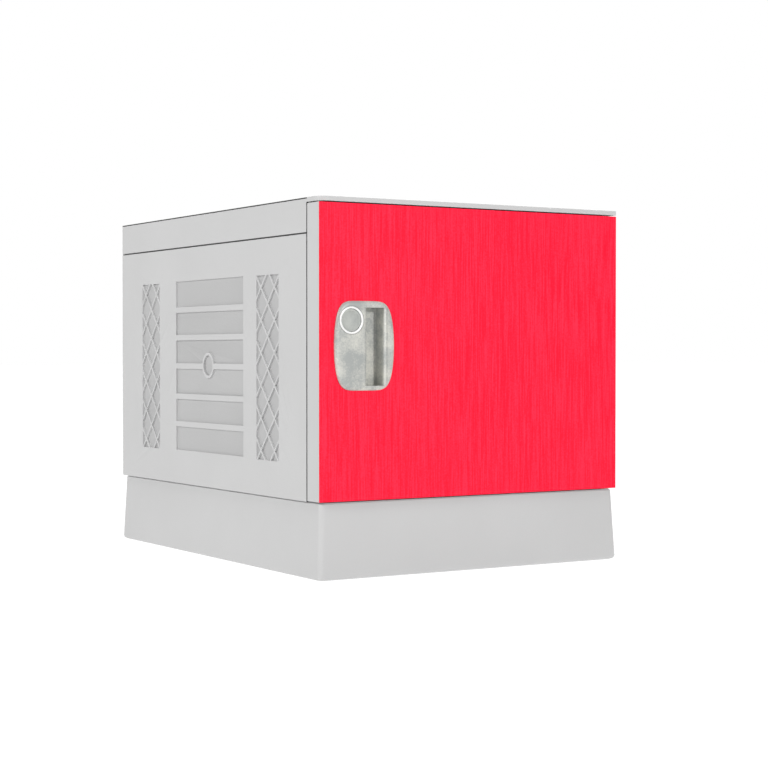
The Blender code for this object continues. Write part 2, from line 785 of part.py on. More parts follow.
def make_cap(grey):
    """The top cover: a plate with a lip over the door and skirts that lap over the panels' tongues."""
    cap = solid("top_cap", grey, prism(cap_outline(BACK), "Z", SKIRT_FOOT, TOP))
    below = SKIRT_FOOT - SKIRT_WALL
    door_room = box(
        (LEFT - SKIRT_WALL, FRONT - SKIRT_WALL, below),
        (RIGHT + SKIRT_WALL, FRAME_FRONT, LIP_FOOT),
    )
    hollow = box(
        (LEFT + SKIRT_WALL, FRAME_FRONT + SKIRT_WALL, below),
        (RIGHT - SKIRT_WALL, BACK - SKIRT_WALL, TOP - CAP_PLATE),
    )
    cut(cap, door_room)
    cut(cap, hollow)
    for side in (-1, 1):
        groove = side_box(
            side,
            -SEAL_WIDTH,
            SEAL_WIDTH + GAP,
            (FRAME_FRONT, TOP - SEAL_THICKNESS - GAP),
            (BACK + SEAL_WIDTH, TOP + SEAL_THICKNESS),
        )
        cut(cap, groove)
        cut(cap, side_seal_groove(side))
    bush_top = LIP_FOOT + LIP_BUSH_HEIGHT + 2 * GAP
    cut(cap, rod(BUSH_RADIUS + GAP, "Z", (HINGE_X, HINGE_Y), LIP_FOOT - GAP, bush_top, 2 * COARSE))
    (x_low, low), (x_high, high) = inlet_corners(INLET_WALL + GAP, INLET_HEIGHT)
    cut(cap, box((x_low, BACK - 2 * SKIRT_WALL, low), (x_high, BACK + SKIRT_WALL, high)))
    spots = (*cap_screw_places().values(), *inlet_screw_places().values())
    cut(
        cap,
        *(screw_hole(SMALL_SCREW, "Y", spot, BACK - 2 * SKIRT_WALL, BACK + SKIRT_WALL) for spot in spots),
    )


def make_edge_seal(name, side, rubber):
    """The dark strip let into the cap's top edge, on which a cell above would sit."""
    solid(
        name,
        rubber,
        side_box(side, 0, SEAL_WIDTH, (FRAME_FRONT + GAP, TOP - SEAL_THICKNESS), (BACK, TOP)),
    )


def make_door_seal(name, side, rubber):
    """The dark strip let into the side's front edge, from the panel's foot to the cap's lip."""
    low = (FRAME_FRONT, PANEL_FOOT)
    high = (FRAME_FRONT + SEAL_THICKNESS, LIP_FOOT - GAP)
    solid(name, rubber, side_box(side, 0, SEAL_WIDTH, low, high))


def make_cap_seal(rubber):
    """The dark strip that fills the line between the cap's skirts and the panels, on three sides."""
    foot = PANEL_TOP + GAP
    top = SKIRT_FOOT - GAP
    front = FRAME_FRONT + SEAL_THICKNESS + 2 * GAP
    outer = CAP_SEAL_SINK
    inner = SKIRT_WALL + TONGUE_GAP - GAP
    left, right = (side_box(side, outer, inner, (front, foot), (BACK - outer, top)) for side in (-1, 1))
    seal = solid("cap_seal", rubber, left)
    back_low = (LEFT + (outer + inner) / 2, BACK - SKIRT_WALL, foot)
    back_strip = box(back_low, (RIGHT - (outer + inner) / 2, BACK - outer, top))
    join(seal, back_strip)
    join(seal, right)


def make_hinge(nylon, steel, door):
    """Two pins in the door, which turn in a bush in the cap's lip and a bush in the plinth."""
    axis = (HINGE_X, HINGE_Y)
    bore = PIN_RADIUS + RUNNING_GAP
    lip_bush_foot = LIP_FOOT + GAP
    solid(
        "upper_hinge_bush",
        nylon,
        tube(bore, BUSH_RADIUS, "Z", axis, lip_bush_foot, lip_bush_foot + LIP_BUSH_HEIGHT, 2 * COARSE),
    )
    bush_foot = PLINTH_HEIGHT - BUSH_DEPTH + GAP
    flange_foot = PLINTH_HEIGHT + GAP
    profile = (
        (bore, bush_foot),
        (BUSH_RADIUS, bush_foot),
        (BUSH_RADIUS, flange_foot),
        (BUSH_FLANGE_RADIUS, flange_foot),
        (BUSH_FLANGE_RADIUS, flange_foot + BUSH_FLANGE),
        (bore, flange_foot + BUSH_FLANGE),
    )
    solid("lower_hinge_bush", nylon, turned(profile, "Z", axis, 2 * COARSE))
    pin_top = lip_bush_foot + LIP_BUSH_HEIGHT - GAP
    solid(
        "upper_hinge_pin",
        steel,
        rod(PIN_RADIUS, "Z", axis, DOOR_TOP - PIN_SEAT, pin_top, 2 * COARSE),
        parent=door,
    )
    solid(
        "lower_hinge_pin",
        steel,
        rod(PIN_RADIUS, "Z", axis, bush_foot + GAP, DOOR_FOOT + PIN_SEAT, 2 * COARSE),
        parent=door,
    )


def shell_outline():
    """The door shell from above: its back right corner is round about the hinge pins."""
    radius = DOOR_THICKNESS - HINGE_INSET
    start = math.acos(HINGE_INSET / radius)
    arc = []
    for step in range(COARSE + 1):
        angle = start + (math.pi / 2 - start) * step / COARSE
        arc.append((HINGE_X + radius * math.cos(angle), HINGE_Y + radius * math.sin(angle)))
    return [(LEFT, SHELL_FRONT), (RIGHT, SHELL_FRONT), *arc, (LEFT, DOOR_BACK)]


def shell_cells():
    """Boxes hollowed out of the door's front, which leave ribs between them."""
    x_low = LEFT + SHELL_WALL
    x_high = HINGE_X - DOOR_THICKNESS / 2
    z_low = DOOR_FOOT + SHELL_WALL
    z_high = DOOR_TOP - SHELL_WALL
    columns = math.ceil((x_high - x_low) / CELL_SIZE)
    rows = math.ceil((z_high - z_low) / CELL_SIZE)
    width = (x_high - x_low - (columns - 1) * SHELL_RIB) / columns
    height = (z_high - z_low - (rows - 1) * SHELL_RIB) / rows
    cells = []
    for column in range(columns):
        for row in range(rows):
            x = x_low + column * (width + SHELL_RIB)
            z = z_low + row * (height + SHELL_RIB)
            cells.append(box((x, FRONT, z), (x + width, SHELL_FLOOR, z + height)))
    return cells


def cup_corners(margin):
    """Low and high (X, Z) of the finger recess, grown by a margin."""
    low = (CUP_X - margin, CUP_Z - margin)
    high = (CUP_X + CUP_WIDTH + margin, CUP_Z + CUP_HEIGHT + margin)
    return low, high


def cup_box(margin, front, back):
    low, high = cup_corners(margin)
    return box((low[0], front, low[1]), (high[0], back, high[1]))


def handle_screw_places():
    x = CUP_X + CUP_WIDTH / 2
    return {
        "lower": (x, CUP_Z + HANDLE_SCREW_INSET),
        "upper": (x, CUP_Z + CUP_HEIGHT - HANDLE_SCREW_INSET),
    }


def sheet_seat(front, back, gap):
    """The thick inner part of the coloured sheet, or the pocket for it."""
    inset = SHEET_LIP_WIDTH + gap
    return box((LEFT + inset, front, DOOR_FOOT + inset), (RIGHT - inset, back, DOOR_TOP - inset))


def make_door_shell(grey, door):
    """The door's grey body: a ribbed tray with a solid edge for the hinge pins."""
    shell = solid("door_shell", grey, prism(shell_outline(), "Z", DOOR_FOOT, DOOR_TOP), parent=door)
    cut(shell, sheet_seat(FRONT, SHEET_SEAT, 0))
    pin_hole = PIN_RADIUS + GAP
    axis = (HINGE_X, HINGE_Y)
    cut(
        shell,
        rod(pin_hole, "Z", axis, DOOR_FOOT - GAP, DOOR_FOOT + PIN_SEAT + GAP, 2 * COARSE),
        rod(pin_hole, "Z", axis, DOOR_TOP - PIN_SEAT - GAP, DOOR_TOP + GAP, 2 * COARSE),
    )
    cut(shell, *shell_cells())
    lock = (LOCK_X, LOCK_Z)
    join(shell, rod(FLANGE_RADIUS, "Y", lock, FLANGE_FACE, DOOR_BACK - SHELL_BACK_WALL / 2, FINE))
    collar_room = COLLAR_BORE + COLLAR_WALL + 2 * GAP
    cut(shell, rod(collar_room, "Y", lock, FRONT, FLANGE_BACK + GAP, FINE))
    cut(shell, cup_box(CUP_WALL + 2 * GAP, FRONT, SHELL_FLOOR))
    behind = DOOR_BACK + SHELL_WALL
    spots = handle_screw_places().values()
    cut(shell, rod(BARREL_RADIUS + GAP, "Y", lock, FRONT, behind, FINE))
    cut(shell, *(screw_hole(SMALL_SCREW, "Y", spot, CUP_BACK, behind) for spot in spots))


def make_door_front(red, door):
    """The coloured sheet on the door's face: its lip laps over the shell's edge."""
    lip = box((LEFT, FRONT, DOOR_FOOT), (RIGHT, FRONT + SHEET_LIP, DOOR_TOP))
    sheet = solid("door_front_sheet", red, lip, parent=door)
    join(sheet, sheet_seat(FRONT + SHEET_LIP / 2, FRONT + FRONT_SHEET, GAP))
    ahead = FRONT - FRONT_SHEET
    behind = FRONT + 2 * FRONT_SHEET
    cut(sheet, cup_box(CUP_WALL + 2 * GAP, ahead, behind))
    cut(sheet, rod(COLLAR_BORE + COLLAR_WALL + 2 * GAP, "Y", (LOCK_X, LOCK_Z), ahead, behind, FINE))


def lock_seat(ahead):
    """Profile of the stepped hole in the handle plate: for the ring, the disc and the lock's flange."""
    behind = FLANGE_BACK + GAP
    ring_floor = PLATE_FACE + RING_SEAT + GAP
    return (
        (0, ahead),
        (RING_RADIUS + GAP, ahead),
        (RING_RADIUS + GAP, ring_floor),
        (DISC_RADIUS + GAP, ring_floor),
        (DISC_RADIUS + GAP, DISC_BACK),
        (COLLAR_BORE, DISC_BACK),
        (COLLAR_BORE, behind),
        (0, behind),
    )


def make_handle_plate(zinc, door):
    """The crowned plate: a finger recess, the ring's seat and a collar round the lock's flange."""
    rings = []
    for inset, share in PLATE_CROWN:
        outline = superellipse((PLATE_X, PLATE_Z), PLATE_WIDTH / 2 - inset, PLATE_HEIGHT / 2 - inset)
        rings.append((outline, PLATE_BACK - share * PLATE_THICKNESS))
    plate = solid("handle_plate", zinc, lofted(rings, "Y"), parent=door)
    inside = PLATE_BACK - PLATE_THICKNESS / 4
    lock = (LOCK_X, LOCK_Z)
    join(plate, cup_box(CUP_WALL, inside, CUP_BACK))
    join(plate, rod(COLLAR_BORE + COLLAR_WALL, "Y", lock, inside, FLANGE_BACK, FINE))
    boss_end = SHELL_FLOOR - GAP
    spots = handle_screw_places().values()
    join(
        plate,
        *(rod(SMALL_SCREW.head_radius, "Y", spot, CUP_BACK - CUP_WALL / 2, boss_end) for spot in spots),
    )
    ahead = PLATE_FACE - PLATE_THICKNESS
    cut(plate, cup_box(0, ahead, CUP_BOTTOM))
    cut(plate, turned(lock_seat(ahead), "Y", lock, FINE))
    cut(plate, *(screw_hole(SMALL_SCREW, "Y", spot, CUP_BACK + GAP / 2, DOOR_BACK) for spot in spots))


def make_lock_fixed(chrome, zinc, door):
    """The ring, barrel and nut of the cam lock, which stay still on the door."""
    lock = (LOCK_X, LOCK_Z)
    ring_face = PLATE_FACE - RING_PROUD
    solid(
        "lock_ring",
        chrome,
        tube(RING_BORE, RING_RADIUS, "Y", lock, ring_face, PLATE_FACE + RING_SEAT, FINE),
        parent=door,
    )
    bore = SPINDLE_RADIUS + RUNNING_GAP
    profile = (
        (bore, FLANGE_FACE),
        (FLANGE_RADIUS, FLANGE_FACE),
        (FLANGE_RADIUS, FLANGE_BACK),
        (BARREL_RADIUS, FLANGE_BACK),
        (BARREL_RADIUS, BARREL_BACK),
        (bore, BARREL_BACK),
    )
    solid("lock_barrel", zinc, turned(profile, "Y", lock, 2 * COARSE), parent=door)
    hexagon = []
    for corner in range(6):
        angle = math.tau * corner / 6
        hexagon.append((LOCK_X + NUT_RADIUS * math.cos(angle), LOCK_Z + NUT_RADIUS * math.sin(angle)))
    nut = solid("lock_nut", zinc, prism(hexagon, "Y", NUT_FACE, NUT_BACK), parent=door)
    cut(nut, rod(BARREL_RADIUS + GAP, "Y", lock, DOOR_BACK, BARREL_BACK, 2 * COARSE))


def cam_outline():
    """The cam from the front, its arm hanging straight down from a round hub."""
    half = CAM_WIDTH / 2
    start = math.asin(half / CAM_HUB)
    points = [(LOCK_X - half, LOCK_Z - CAM_REACH), (LOCK_X + half, LOCK_Z - CAM_REACH)]
    for step in range(2 * COARSE + 1):
        angle = -math.pi / 2 + start + (math.tau - 2 * start) * step / (2 * COARSE)
        points.append((LOCK_X + CAM_HUB * math.cos(angle), LOCK_Z + CAM_HUB * math.sin(angle)))
    return points


def make_lock_turning(zinc, steel, small_screw, turning):
    """The plug with its blank disc and spindle, and the cam on its end."""
    lock = (LOCK_X, LOCK_Z)
    spindle_end = CAM_BACK + GAP
    screw_depth = SMALL_SCREW.length + 2 * GAP
    hole = SMALL_SCREW.shank_radius + GAP
    profile = (
        (0, DISC_FACE),
        (DISC_RADIUS, DISC_FACE),
        (DISC_RADIUS, DISC_BACK),
        (SPINDLE_RADIUS, DISC_BACK),
        (SPINDLE_RADIUS, spindle_end),
        (hole, spindle_end),
        (hole, spindle_end - screw_depth),
        (0, spindle_end - screw_depth),
    )
    solid("lock_plug", zinc, turned(profile, "Y", lock, 2 * COARSE), parent=turning)
    cam = solid("lock_cam", steel, prism(cam_outline(), "Y", CAM_FACE, CAM_BACK), parent=turning)
    cut(cam, rod(SPINDLE_RADIUS + GAP, "Y", lock, BARREL_BACK, CAM_BACK + CAM_GAP, 2 * COARSE))
    place_screw("cam_screw", small_screw, (LOCK_X, spindle_end + GAP, LOCK_Z), (0, 1, 0), turning)


def strike_screw_places():
    y = FRAME_FRONT + STRIKE_SCREW_BACK
    half = STRIKE_SCREW_SPREAD / 2
    return {"lower": (y, LOCK_Z - half), "upper": (y, LOCK_Z + half)}


def make_strike(steel, small_screw, panel):
    """The angle on the left side panel: its lip stands in front of the turned cam."""
    face = SIDE_WALL + GAP
    low = (FRAME_FRONT + GAP, LOCK_Z - STRIKE_HEIGHT / 2)
    high = (FRAME_FRONT + STRIKE_LENGTH, LOCK_Z + STRIKE_HEIGHT / 2)
    strike = solid("strike_plate", steel, side_box(-1, face, face + STRIKE_WALL, low, high))
    lip_back = FRAME_FRONT + GAP + STRIKE_LIP_WALL
    lip_end = LOCK_ACROSS - NUT_RADIUS - STRIKE_NUT_GAP
    join(strike, side_box(-1, face + STRIKE_WALL / 2, lip_end, low, (lip_back, high[1])))
    hole_low, hole_high = inward(-1, SIDE_WALL / 4, face + 2 * STRIKE_WALL)
    for place in strike_screw_places().values():
        for piece in (strike, panel):
            cut(piece, screw_hole(SMALL_SCREW, "X", place, hole_low, hole_high))


def make_outlet(grey, board_green, steel):
    """The charging unit on the back wall: a tray, its board with two sockets, and a cover."""
    half_width = OUTLET_WIDTH / 2
    half_height = OUTLET_HEIGHT / 2
    low = (-half_width, OUTLET_Z - half_height)
    high = (half_width, OUTLET_Z + half_height)
    body = box((low[0], OUTLET_FRONT, low[1]), (high[0], OUTLET_BACK, high[1]))
    housing = solid("outlet_housing", grey, body)
    inner = OUTLET_WALL
    cut(
        housing,
        box(
            (low[0] + inner, OUTLET_FRONT - inner, low[1] + inner),
            (high[0] - inner, OUTLET_BACK - inner, high[1] - inner),
        ),
    )
    spots = outlet_screw_places().values()
    middle = OUTLET_BACK - inner / 2
    join(housing, *(rod(OUTLET_BOSS_RADIUS, "Y", spot, BOSS_FACE, middle) for spot in spots))
    cut(housing, *(screw_hole(SMALL_SCREW, "Y", spot, OUTLET_FRONT, BACK) for spot in spots))
    plate = box((low[0], OUTLET_FACE, low[1]), (high[0], OUTLET_FACE + OUTLET_WALL, high[1]))
    cover = solid("outlet_cover", grey, plate)
    ahead = OUTLET_FACE - OUTLET_WALL
    reach = SOCKET_WALL + GAP
    for name, x in (("left", -SOCKET_SPREAD / 2), ("right", SOCKET_SPREAD / 2)):
        cut(cover, socket_box(x, reach, ahead, OUTLET_FRONT))
        make_socket(f"usb_socket_{name}", x, steel)
    cut(cover, *(screw_hole(SMALL_SCREW, "Y", spot, ahead, OUTLET_FRONT) for spot in spots))
    board_x = half_width - OUTLET_WALL - BOARD_SIDE_GAP
    board_rise = half_height - OUTLET_WALL - BOARD_END_GAP
    board_low = (-board_x, BOARD_FACE, OUTLET_Z - board_rise)
    board_high = (board_x, BOARD_BACK, OUTLET_Z + board_rise)
    board = solid("charger_board", board_green, box(board_low, board_high))
    cut(board, *(screw_hole(SMALL_SCREW, "Y", spot, OUTLET_FRONT, OUTLET_BACK) for spot in spots))


def socket_box(x, margin, front, back):
    half_width = SOCKET_WIDTH / 2 + margin
    half_height = SOCKET_HEIGHT / 2 + margin
    low = (x - half_width, front, OUTLET_Z - half_height)
    return box(low, (x + half_width, back, OUTLET_Z + half_height))


def make_socket(name, x, steel):
    """A socket's shell, open towards the user, standing on the board."""
    back = BOARD_FACE - GAP
    front = back - SOCKET_LENGTH
    shell = solid(name, steel, socket_box(x, SOCKET_WALL, front, back))
    cut(shell, socket_box(x, 0, front - SOCKET_WALL, back - 2 * SOCKET_WALL))


def supply_screw_places():
    x = (SUPPLY_WIDTH + SUPPLY_FOOT) / 2
    y = BACK_INNER - SUPPLY_BACK_GAP - SUPPLY_DEPTH / 2
    return {"left": (-x, y), "right": (x, y)}


def make_supply(sheet_metal):
    """The power supply on the roof, inside the cap: a tray with two feet and a slotted lid."""
    back = BACK_INNER - SUPPLY_BACK_GAP
    front = back - SUPPLY_DEPTH
    foot = ROOF_TOP + GAP
    half = SUPPLY_WIDTH / 2
    lid_top = TOP - CAP_PLATE - SUPPLY_TOP_GAP
    lid_foot = lid_top - SUPPLY_WALL
    top = lid_foot - GAP
    inset = SUPPLY_DEPTH / 4
    tray = solid("supply_tray", sheet_metal, box((-half, front, foot), (half, back, top)))
    for side in (-1, 1):
        near, far = sorted((side * (half - SUPPLY_WALL / 2), side * (half + SUPPLY_FOOT)))
        join(tray, box((near, front + inset, foot), (far, back - inset, foot + SUPPLY_WALL)))
    low = (SUPPLY_WALL - half, front + SUPPLY_WALL, foot + SUPPLY_WALL)
    cut(tray, box(low, (half - SUPPLY_WALL, back - SUPPLY_WALL, top + SUPPLY_WALL)))
    spots = supply_screw_places().values()
    cut(tray, *(screw_hole(SMALL_SCREW, "Z", spot, ROOF_TOP, foot + 2 * SUPPLY_WALL) for spot in spots))
    lid = solid("supply_lid", sheet_metal, box((-half, front, lid_foot), (half, back, lid_top)))
    pitch = (SUPPLY_WIDTH - 2 * SUPPLY_FOOT) / (SLOT_COUNT - 1)
    above = lid_top + SUPPLY_WALL
    for number in range(SLOT_COUNT):
        x_low = SUPPLY_FOOT - half + number * pitch - SLOT_WIDTH / 2
        cut(lid, box((x_low, front + inset, top), (x_low + SLOT_WIDTH, back - inset, above)))


def inlet_screw_places():
    x = INLET_SCREW_SPREAD / 2
    return {"left": (INLET_X - x, INLET_Z), "right": (INLET_X + x, INLET_Z)}


def make_inlet(dark):
    """The mains inlet in the cap's back skirt: a flange, a recess and three contacts."""
    half = INLET_FLANGE_WIDTH / 2
    rise = INLET_FLANGE_HEIGHT / 2
    face = BACK + GAP
    back = face + INLET_FLANGE
    flange = box((INLET_X - half, face, INLET_Z - rise), (INLET_X + half, back, INLET_Z + rise))
    inlet = solid("power_inlet", dark, flange)
    (x_low, low), (x_high, high) = inlet_corners(INLET_WALL, INLET_HEIGHT)
    floor = back - INLET_DEPTH
    join(inlet, box((x_low, floor - INLET_WALL, low), (x_high, back - INLET_FLANGE / 2, high)))
    (x_low, low), (x_high, high) = inlet_corners(0, INLET_HEIGHT)
    cut(inlet, box((x_low, floor, low), (x_high, back + INLET_FLANGE, high)))
    contacts = []
    for number, lift in ((-1, -1), (0, 1), (1, -1)):
        x = INLET_X + number * CONTACT_PITCH - CONTACT_WIDTH / 2
        z = INLET_Z + lift * CONTACT_LIFT - CONTACT_HEIGHT / 2
        low = (x, floor - INLET_WALL / 2, z)
        contacts.append(box(low, (x + CONTACT_WIDTH, floor + CONTACT_LENGTH, z + CONTACT_HEIGHT)))
    join(inlet, *contacts)
    spots = inlet_screw_places().values()
    cut(inlet, *(screw_hole(SMALL_SCREW, "Y", spot, BACK, back + INLET_FLANGE) for spot in spots))


def fit_screws(steel, small_screw, door):
    """All the screws that stay still on the cabinet or the door."""
    panel_screw = screw_mesh(PANEL_SCREW, steel)
    for name, (x, y) in panel_screw_places().items():
        seat = FLOOR_TOP - PANEL_SCREW.head_height
        place_screw(f"plinth_screw_{name}", panel_screw, (x, y, seat), (0, 0, 1))
    for name, (x, z) in cap_screw_places().items():
        place_screw(f"cap_screw_{name}", small_screw, (x, BACK + GAP, z), (0, 1, 0))
    seat = BACK + 2 * GAP + INLET_FLANGE
    for name, (x, z) in inlet_screw_places().items():
        place_screw(f"inlet_screw_{name}", small_screw, (x, seat, z), (0, 1, 0))
    cover_screw = screw_of_length(BOSS_FACE + COVER_SCREW_HOLD - OUTLET_FACE + GAP, steel)
    for name, (x, z) in outlet_screw_places().items():
        place_screw(f"cover_screw_{name}", cover_screw, (x, OUTLET_FACE - GAP, z), (0, -1, 0))
        place_screw(f"outlet_screw_{name}", small_screw, (x, BACK - RECESS + GAP, z), (0, 1, 0))
    seat = ROOF_TOP + 2 * GAP + SUPPLY_WALL
    supply_screw = screw_of_length(seat - ROOF_FOOT - SCREW_END_GAP, steel)
    for name, (x, y) in supply_screw_places().items():
        place_screw(f"supply_screw_{name}", supply_screw, (x, y, seat), (0, 0, 1))
    seat = DOOR_BACK + GAP
    handle_screw = screw_of_length(seat - CUP_BACK - SCREW_END_GAP, steel)
    for name, (x, z) in handle_screw_places().items():
        place_screw(f"handle_screw_{name}", handle_screw, (x, seat, z), (0, 1, 0), door)
    seat = SIDE_WALL + 2 * GAP + STRIKE_WALL
    strike_screw = screw_of_length(seat - SIDE_WALL / 2, steel)
    for name, (y, z) in strike_screw_places().items():
        place_screw(f"strike_screw_{name}", strike_screw, (LEFT + seat, y, z), (1, 0, 0))


def screw_of_length(length, steel):
    return screw_mesh(SMALL_SCREW._replace(length=length), steel)


def main():
    for old in list(bpy.data.objects):
        bpy.data.objects.remove(old)
    grey = material("moulded_grey", (0.63, 0.63, 0.63), 0.5)
    red = material("door_red", (1.0, 0.024, 0.065), 0.45)
    zinc = material("cast_zinc", (0.52, 0.53, 0.50), 0.4, 0.6)
    chrome = material("bright_ring", (0.9, 0.9, 0.9), 0.15, 1.0)
    steel = material("zinc_plated_steel", (0.6, 0.6, 0.6), 0.35, 1.0)
    sheet_metal = material("sheet_metal", (0.5, 0.51, 0.52), 0.4, 1.0)
    nylon = material("nylon", (0.75, 0.74, 0.7), 0.5)
    rubber = material("dark_seal", (0.05, 0.05, 0.05), 0.7)
    dark = material("inlet_black", (0.02, 0.02, 0.02), 0.4)
    board_green = material("board_green", (0.01, 0.12, 0.05), 0.5)
    door = joint_empty("door_hinge_axis", (HINGE_X, HINGE_Y, DOOR_FOOT))
    turning = joint_empty("lock_turn_axis", (LOCK_X, DOOR_BACK, LOCK_Z), door)
    small_screw = screw_mesh(SMALL_SCREW, steel)

    make_plinth(grey)
    make_floor(grey)
    left_panel = make_side_panel("left_side_panel", -1, grey)
    make_side_panel("right_side_panel", 1, grey)
    make_joint_plug("left_joint_plug", -1, grey)
    make_joint_plug("right_joint_plug", 1, grey)
    make_back_panel(grey)
    make_roof(grey)
    make_grommet(rubber)
    make_cap(grey)
    make_edge_seal("left_edge_seal", -1, rubber)
    make_edge_seal("right_edge_seal", 1, rubber)
    make_door_seal("left_door_seal", -1, rubber)
    make_door_seal("right_door_seal", 1, rubber)
    make_cap_seal(rubber)
    make_hinge(nylon, steel, door)
    make_door_shell(grey, door)
    make_door_front(red, door)
    make_handle_plate(zinc, door)
    make_lock_fixed(chrome, zinc, door)
    make_lock_turning(zinc, steel, small_screw, turning)
    make_strike(steel, small_screw, left_panel)
    make_outlet(grey, board_green, steel)
    make_supply(sheet_metal)
    make_inlet(dark)
    fit_screws(steel, small_screw, door)


main()
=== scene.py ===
"""Looks of a phone charging locker: a moulded cell on a plinth with a red door.

Laid out as an add-on and run as a script.
Each operator finishes one piece or a group of like pieces.
"""

import json
import math

import bmesh
import bpy
from mathutils import Matrix, Vector


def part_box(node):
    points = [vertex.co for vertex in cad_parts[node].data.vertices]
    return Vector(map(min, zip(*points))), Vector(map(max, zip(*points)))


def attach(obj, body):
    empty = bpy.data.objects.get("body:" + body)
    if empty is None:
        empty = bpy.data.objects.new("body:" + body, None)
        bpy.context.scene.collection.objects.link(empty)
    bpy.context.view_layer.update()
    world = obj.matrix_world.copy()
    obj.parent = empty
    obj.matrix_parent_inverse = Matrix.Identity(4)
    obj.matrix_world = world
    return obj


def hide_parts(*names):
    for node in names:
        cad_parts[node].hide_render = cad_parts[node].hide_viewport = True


bl_info = {
    "name": "Phone Charging Locker",
    "version": (1, 0, 0),
    "blender": (4, 5, 0),
    "location": "View3D > Sidebar > Locker",
    "description": "Builds the pieces and finishes of a moulded phone charging locker",
    "category": "Object",
}

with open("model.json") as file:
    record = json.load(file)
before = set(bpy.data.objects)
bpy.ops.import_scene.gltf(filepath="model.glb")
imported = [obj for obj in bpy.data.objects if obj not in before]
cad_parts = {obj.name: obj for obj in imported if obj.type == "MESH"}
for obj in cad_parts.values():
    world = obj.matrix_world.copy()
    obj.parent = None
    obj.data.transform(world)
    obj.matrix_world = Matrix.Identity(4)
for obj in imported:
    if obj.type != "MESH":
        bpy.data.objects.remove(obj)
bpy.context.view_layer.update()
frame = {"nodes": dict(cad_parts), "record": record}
BODIES = frame["record"]["behaviour"]["bodies"]
BODY_OF = {node: body for body, nodes in BODIES.items() for node in nodes}
SLOT_OF = {part["node"]: part["material_slot"] for part in frame["record"]["subparts"]}

MM = 0.001

# Light from the room, and lights as (name, place, size, share).
# The share is of a white room's light on a face that is turned to the lamp.
ROOM_LIGHT = 0.3
LIGHT_TARGET = (0, 0, 0.2)
LIGHTS = (
    ("key light", (0.54, -3.84, 1.17), 0.45, 0.31),
    ("left soft box", (-3.45, -0.73, 2.08), 0.6, 0.46),
    ("top soft box", (0, 0.2, 4.2), 3.0, 0.62),
    ("back soft box", (2.9, 2.9, 1.6), 1.6, 0.35),
)

# Sizes of the pieces that are built anew rather than refined
PLATE_THICKNESS = 3.2 * MM
PLATE_RIM = 1.15 * MM
PLATE_SHOULDER = 4.5 * MM
PLATE_SHOULDER_STEPS = 10
PLATE_POINTS = 128
PLATE_EDGE = 0.35 * MM
PLATE_POWER_ACROSS = 5.9
PLATE_POWER_UP = 2.1
CUP_WALL = 1.5 * MM
CUP_OVERLAP = 0.8 * MM
RECESS_MARGIN = 0.4 * MM
RECESS_RIM_DEPTH = 1.1 * MM
RECESS_STEPS = 8
GROOVE_WIDTH = 0.5 * MM
GROOVE_DEPTH = 0.6 * MM
CUT_AHEAD = 2 * MM
LOCK_GAP = 0.3 * MM
DISC_HOLE_DEPTH = 8 * MM
RING_SINK = 0.2 * MM
RING_CROWN = 0.5 * MM
RING_STEPS = 12
DISC_THICKNESS = 3 * MM
DISC_EDGE = 0.4 * MM
DISC_GROOVE = 0.8 * MM
DISC_GROOVE_DEPTH = 0.25 * MM
SPINDLE_RADIUS = 5 * MM
SPINDLE_EDGE = 0.3 * MM
PLUG_RIM = 1.2 * MM
PLUG_DISH = 0.6 * MM
PLUG_EDGE = 0.3 * MM
FIELD_SUNK = (1 * MM, 3 * MM)

# Sizes of a screw, as shares of its head's radius
SCREW_HEAD = 0.5
SCREW_SHANK = 0.43
SCREW_DOME = 0.6
SCREW_DOME_STEPS = 6
CROSS_ARM = 0.55
CROSS_WIDTH = 0.11
CROSS_DEPTH = 0.7

# Contacts in each socket
CONTACTS = 4
CONTACT_PITCH = 2.0 * MM
CONTACT_WIDTH = 1.0 * MM
TONGUE_THICKNESS = 1.4 * MM
TONGUE_SETBACK = 2.2 * MM
SOCKET_WALL = 0.9 * MM

# Which way the head of each screw faces
SCREW_FACING = {
    "plinth_screw": (0, 0, 1),
    "supply_screw": (0, 0, 1),
    "cap_screw": (0, 1, 0),
    "inlet_screw": (0, 1, 0),
    "outlet_screw": (0, 1, 0),
    "handle_screw": (0, 1, 0),
    "cam_screw": (0, 1, 0),
    "cover_screw": (0, -1, 0),
    "strike_screw": (1, 0, 0),
}


def to_linear(code):
    """An sRGB hex colour as linear red, green and blue."""
    values = [int(code[place : place + 2], 16) / 255 for place in (0, 2, 4)]
    return tuple(v / 12.92 if v <= 0.04045 else ((v + 0.055) / 1.055) ** 2.4 for v in values)


def length_property(name, description, default):
    return bpy.props.FloatProperty(
        name=name, description=description, default=default, min=0.0, unit="LENGTH"
    )


def colour_property(name, description, code):
    return bpy.props.FloatVectorProperty(
        name=name,
        description=description,
        default=to_linear(code),
        size=3,
        min=0.0,
        max=1.0,
        subtype="COLOR",
    )


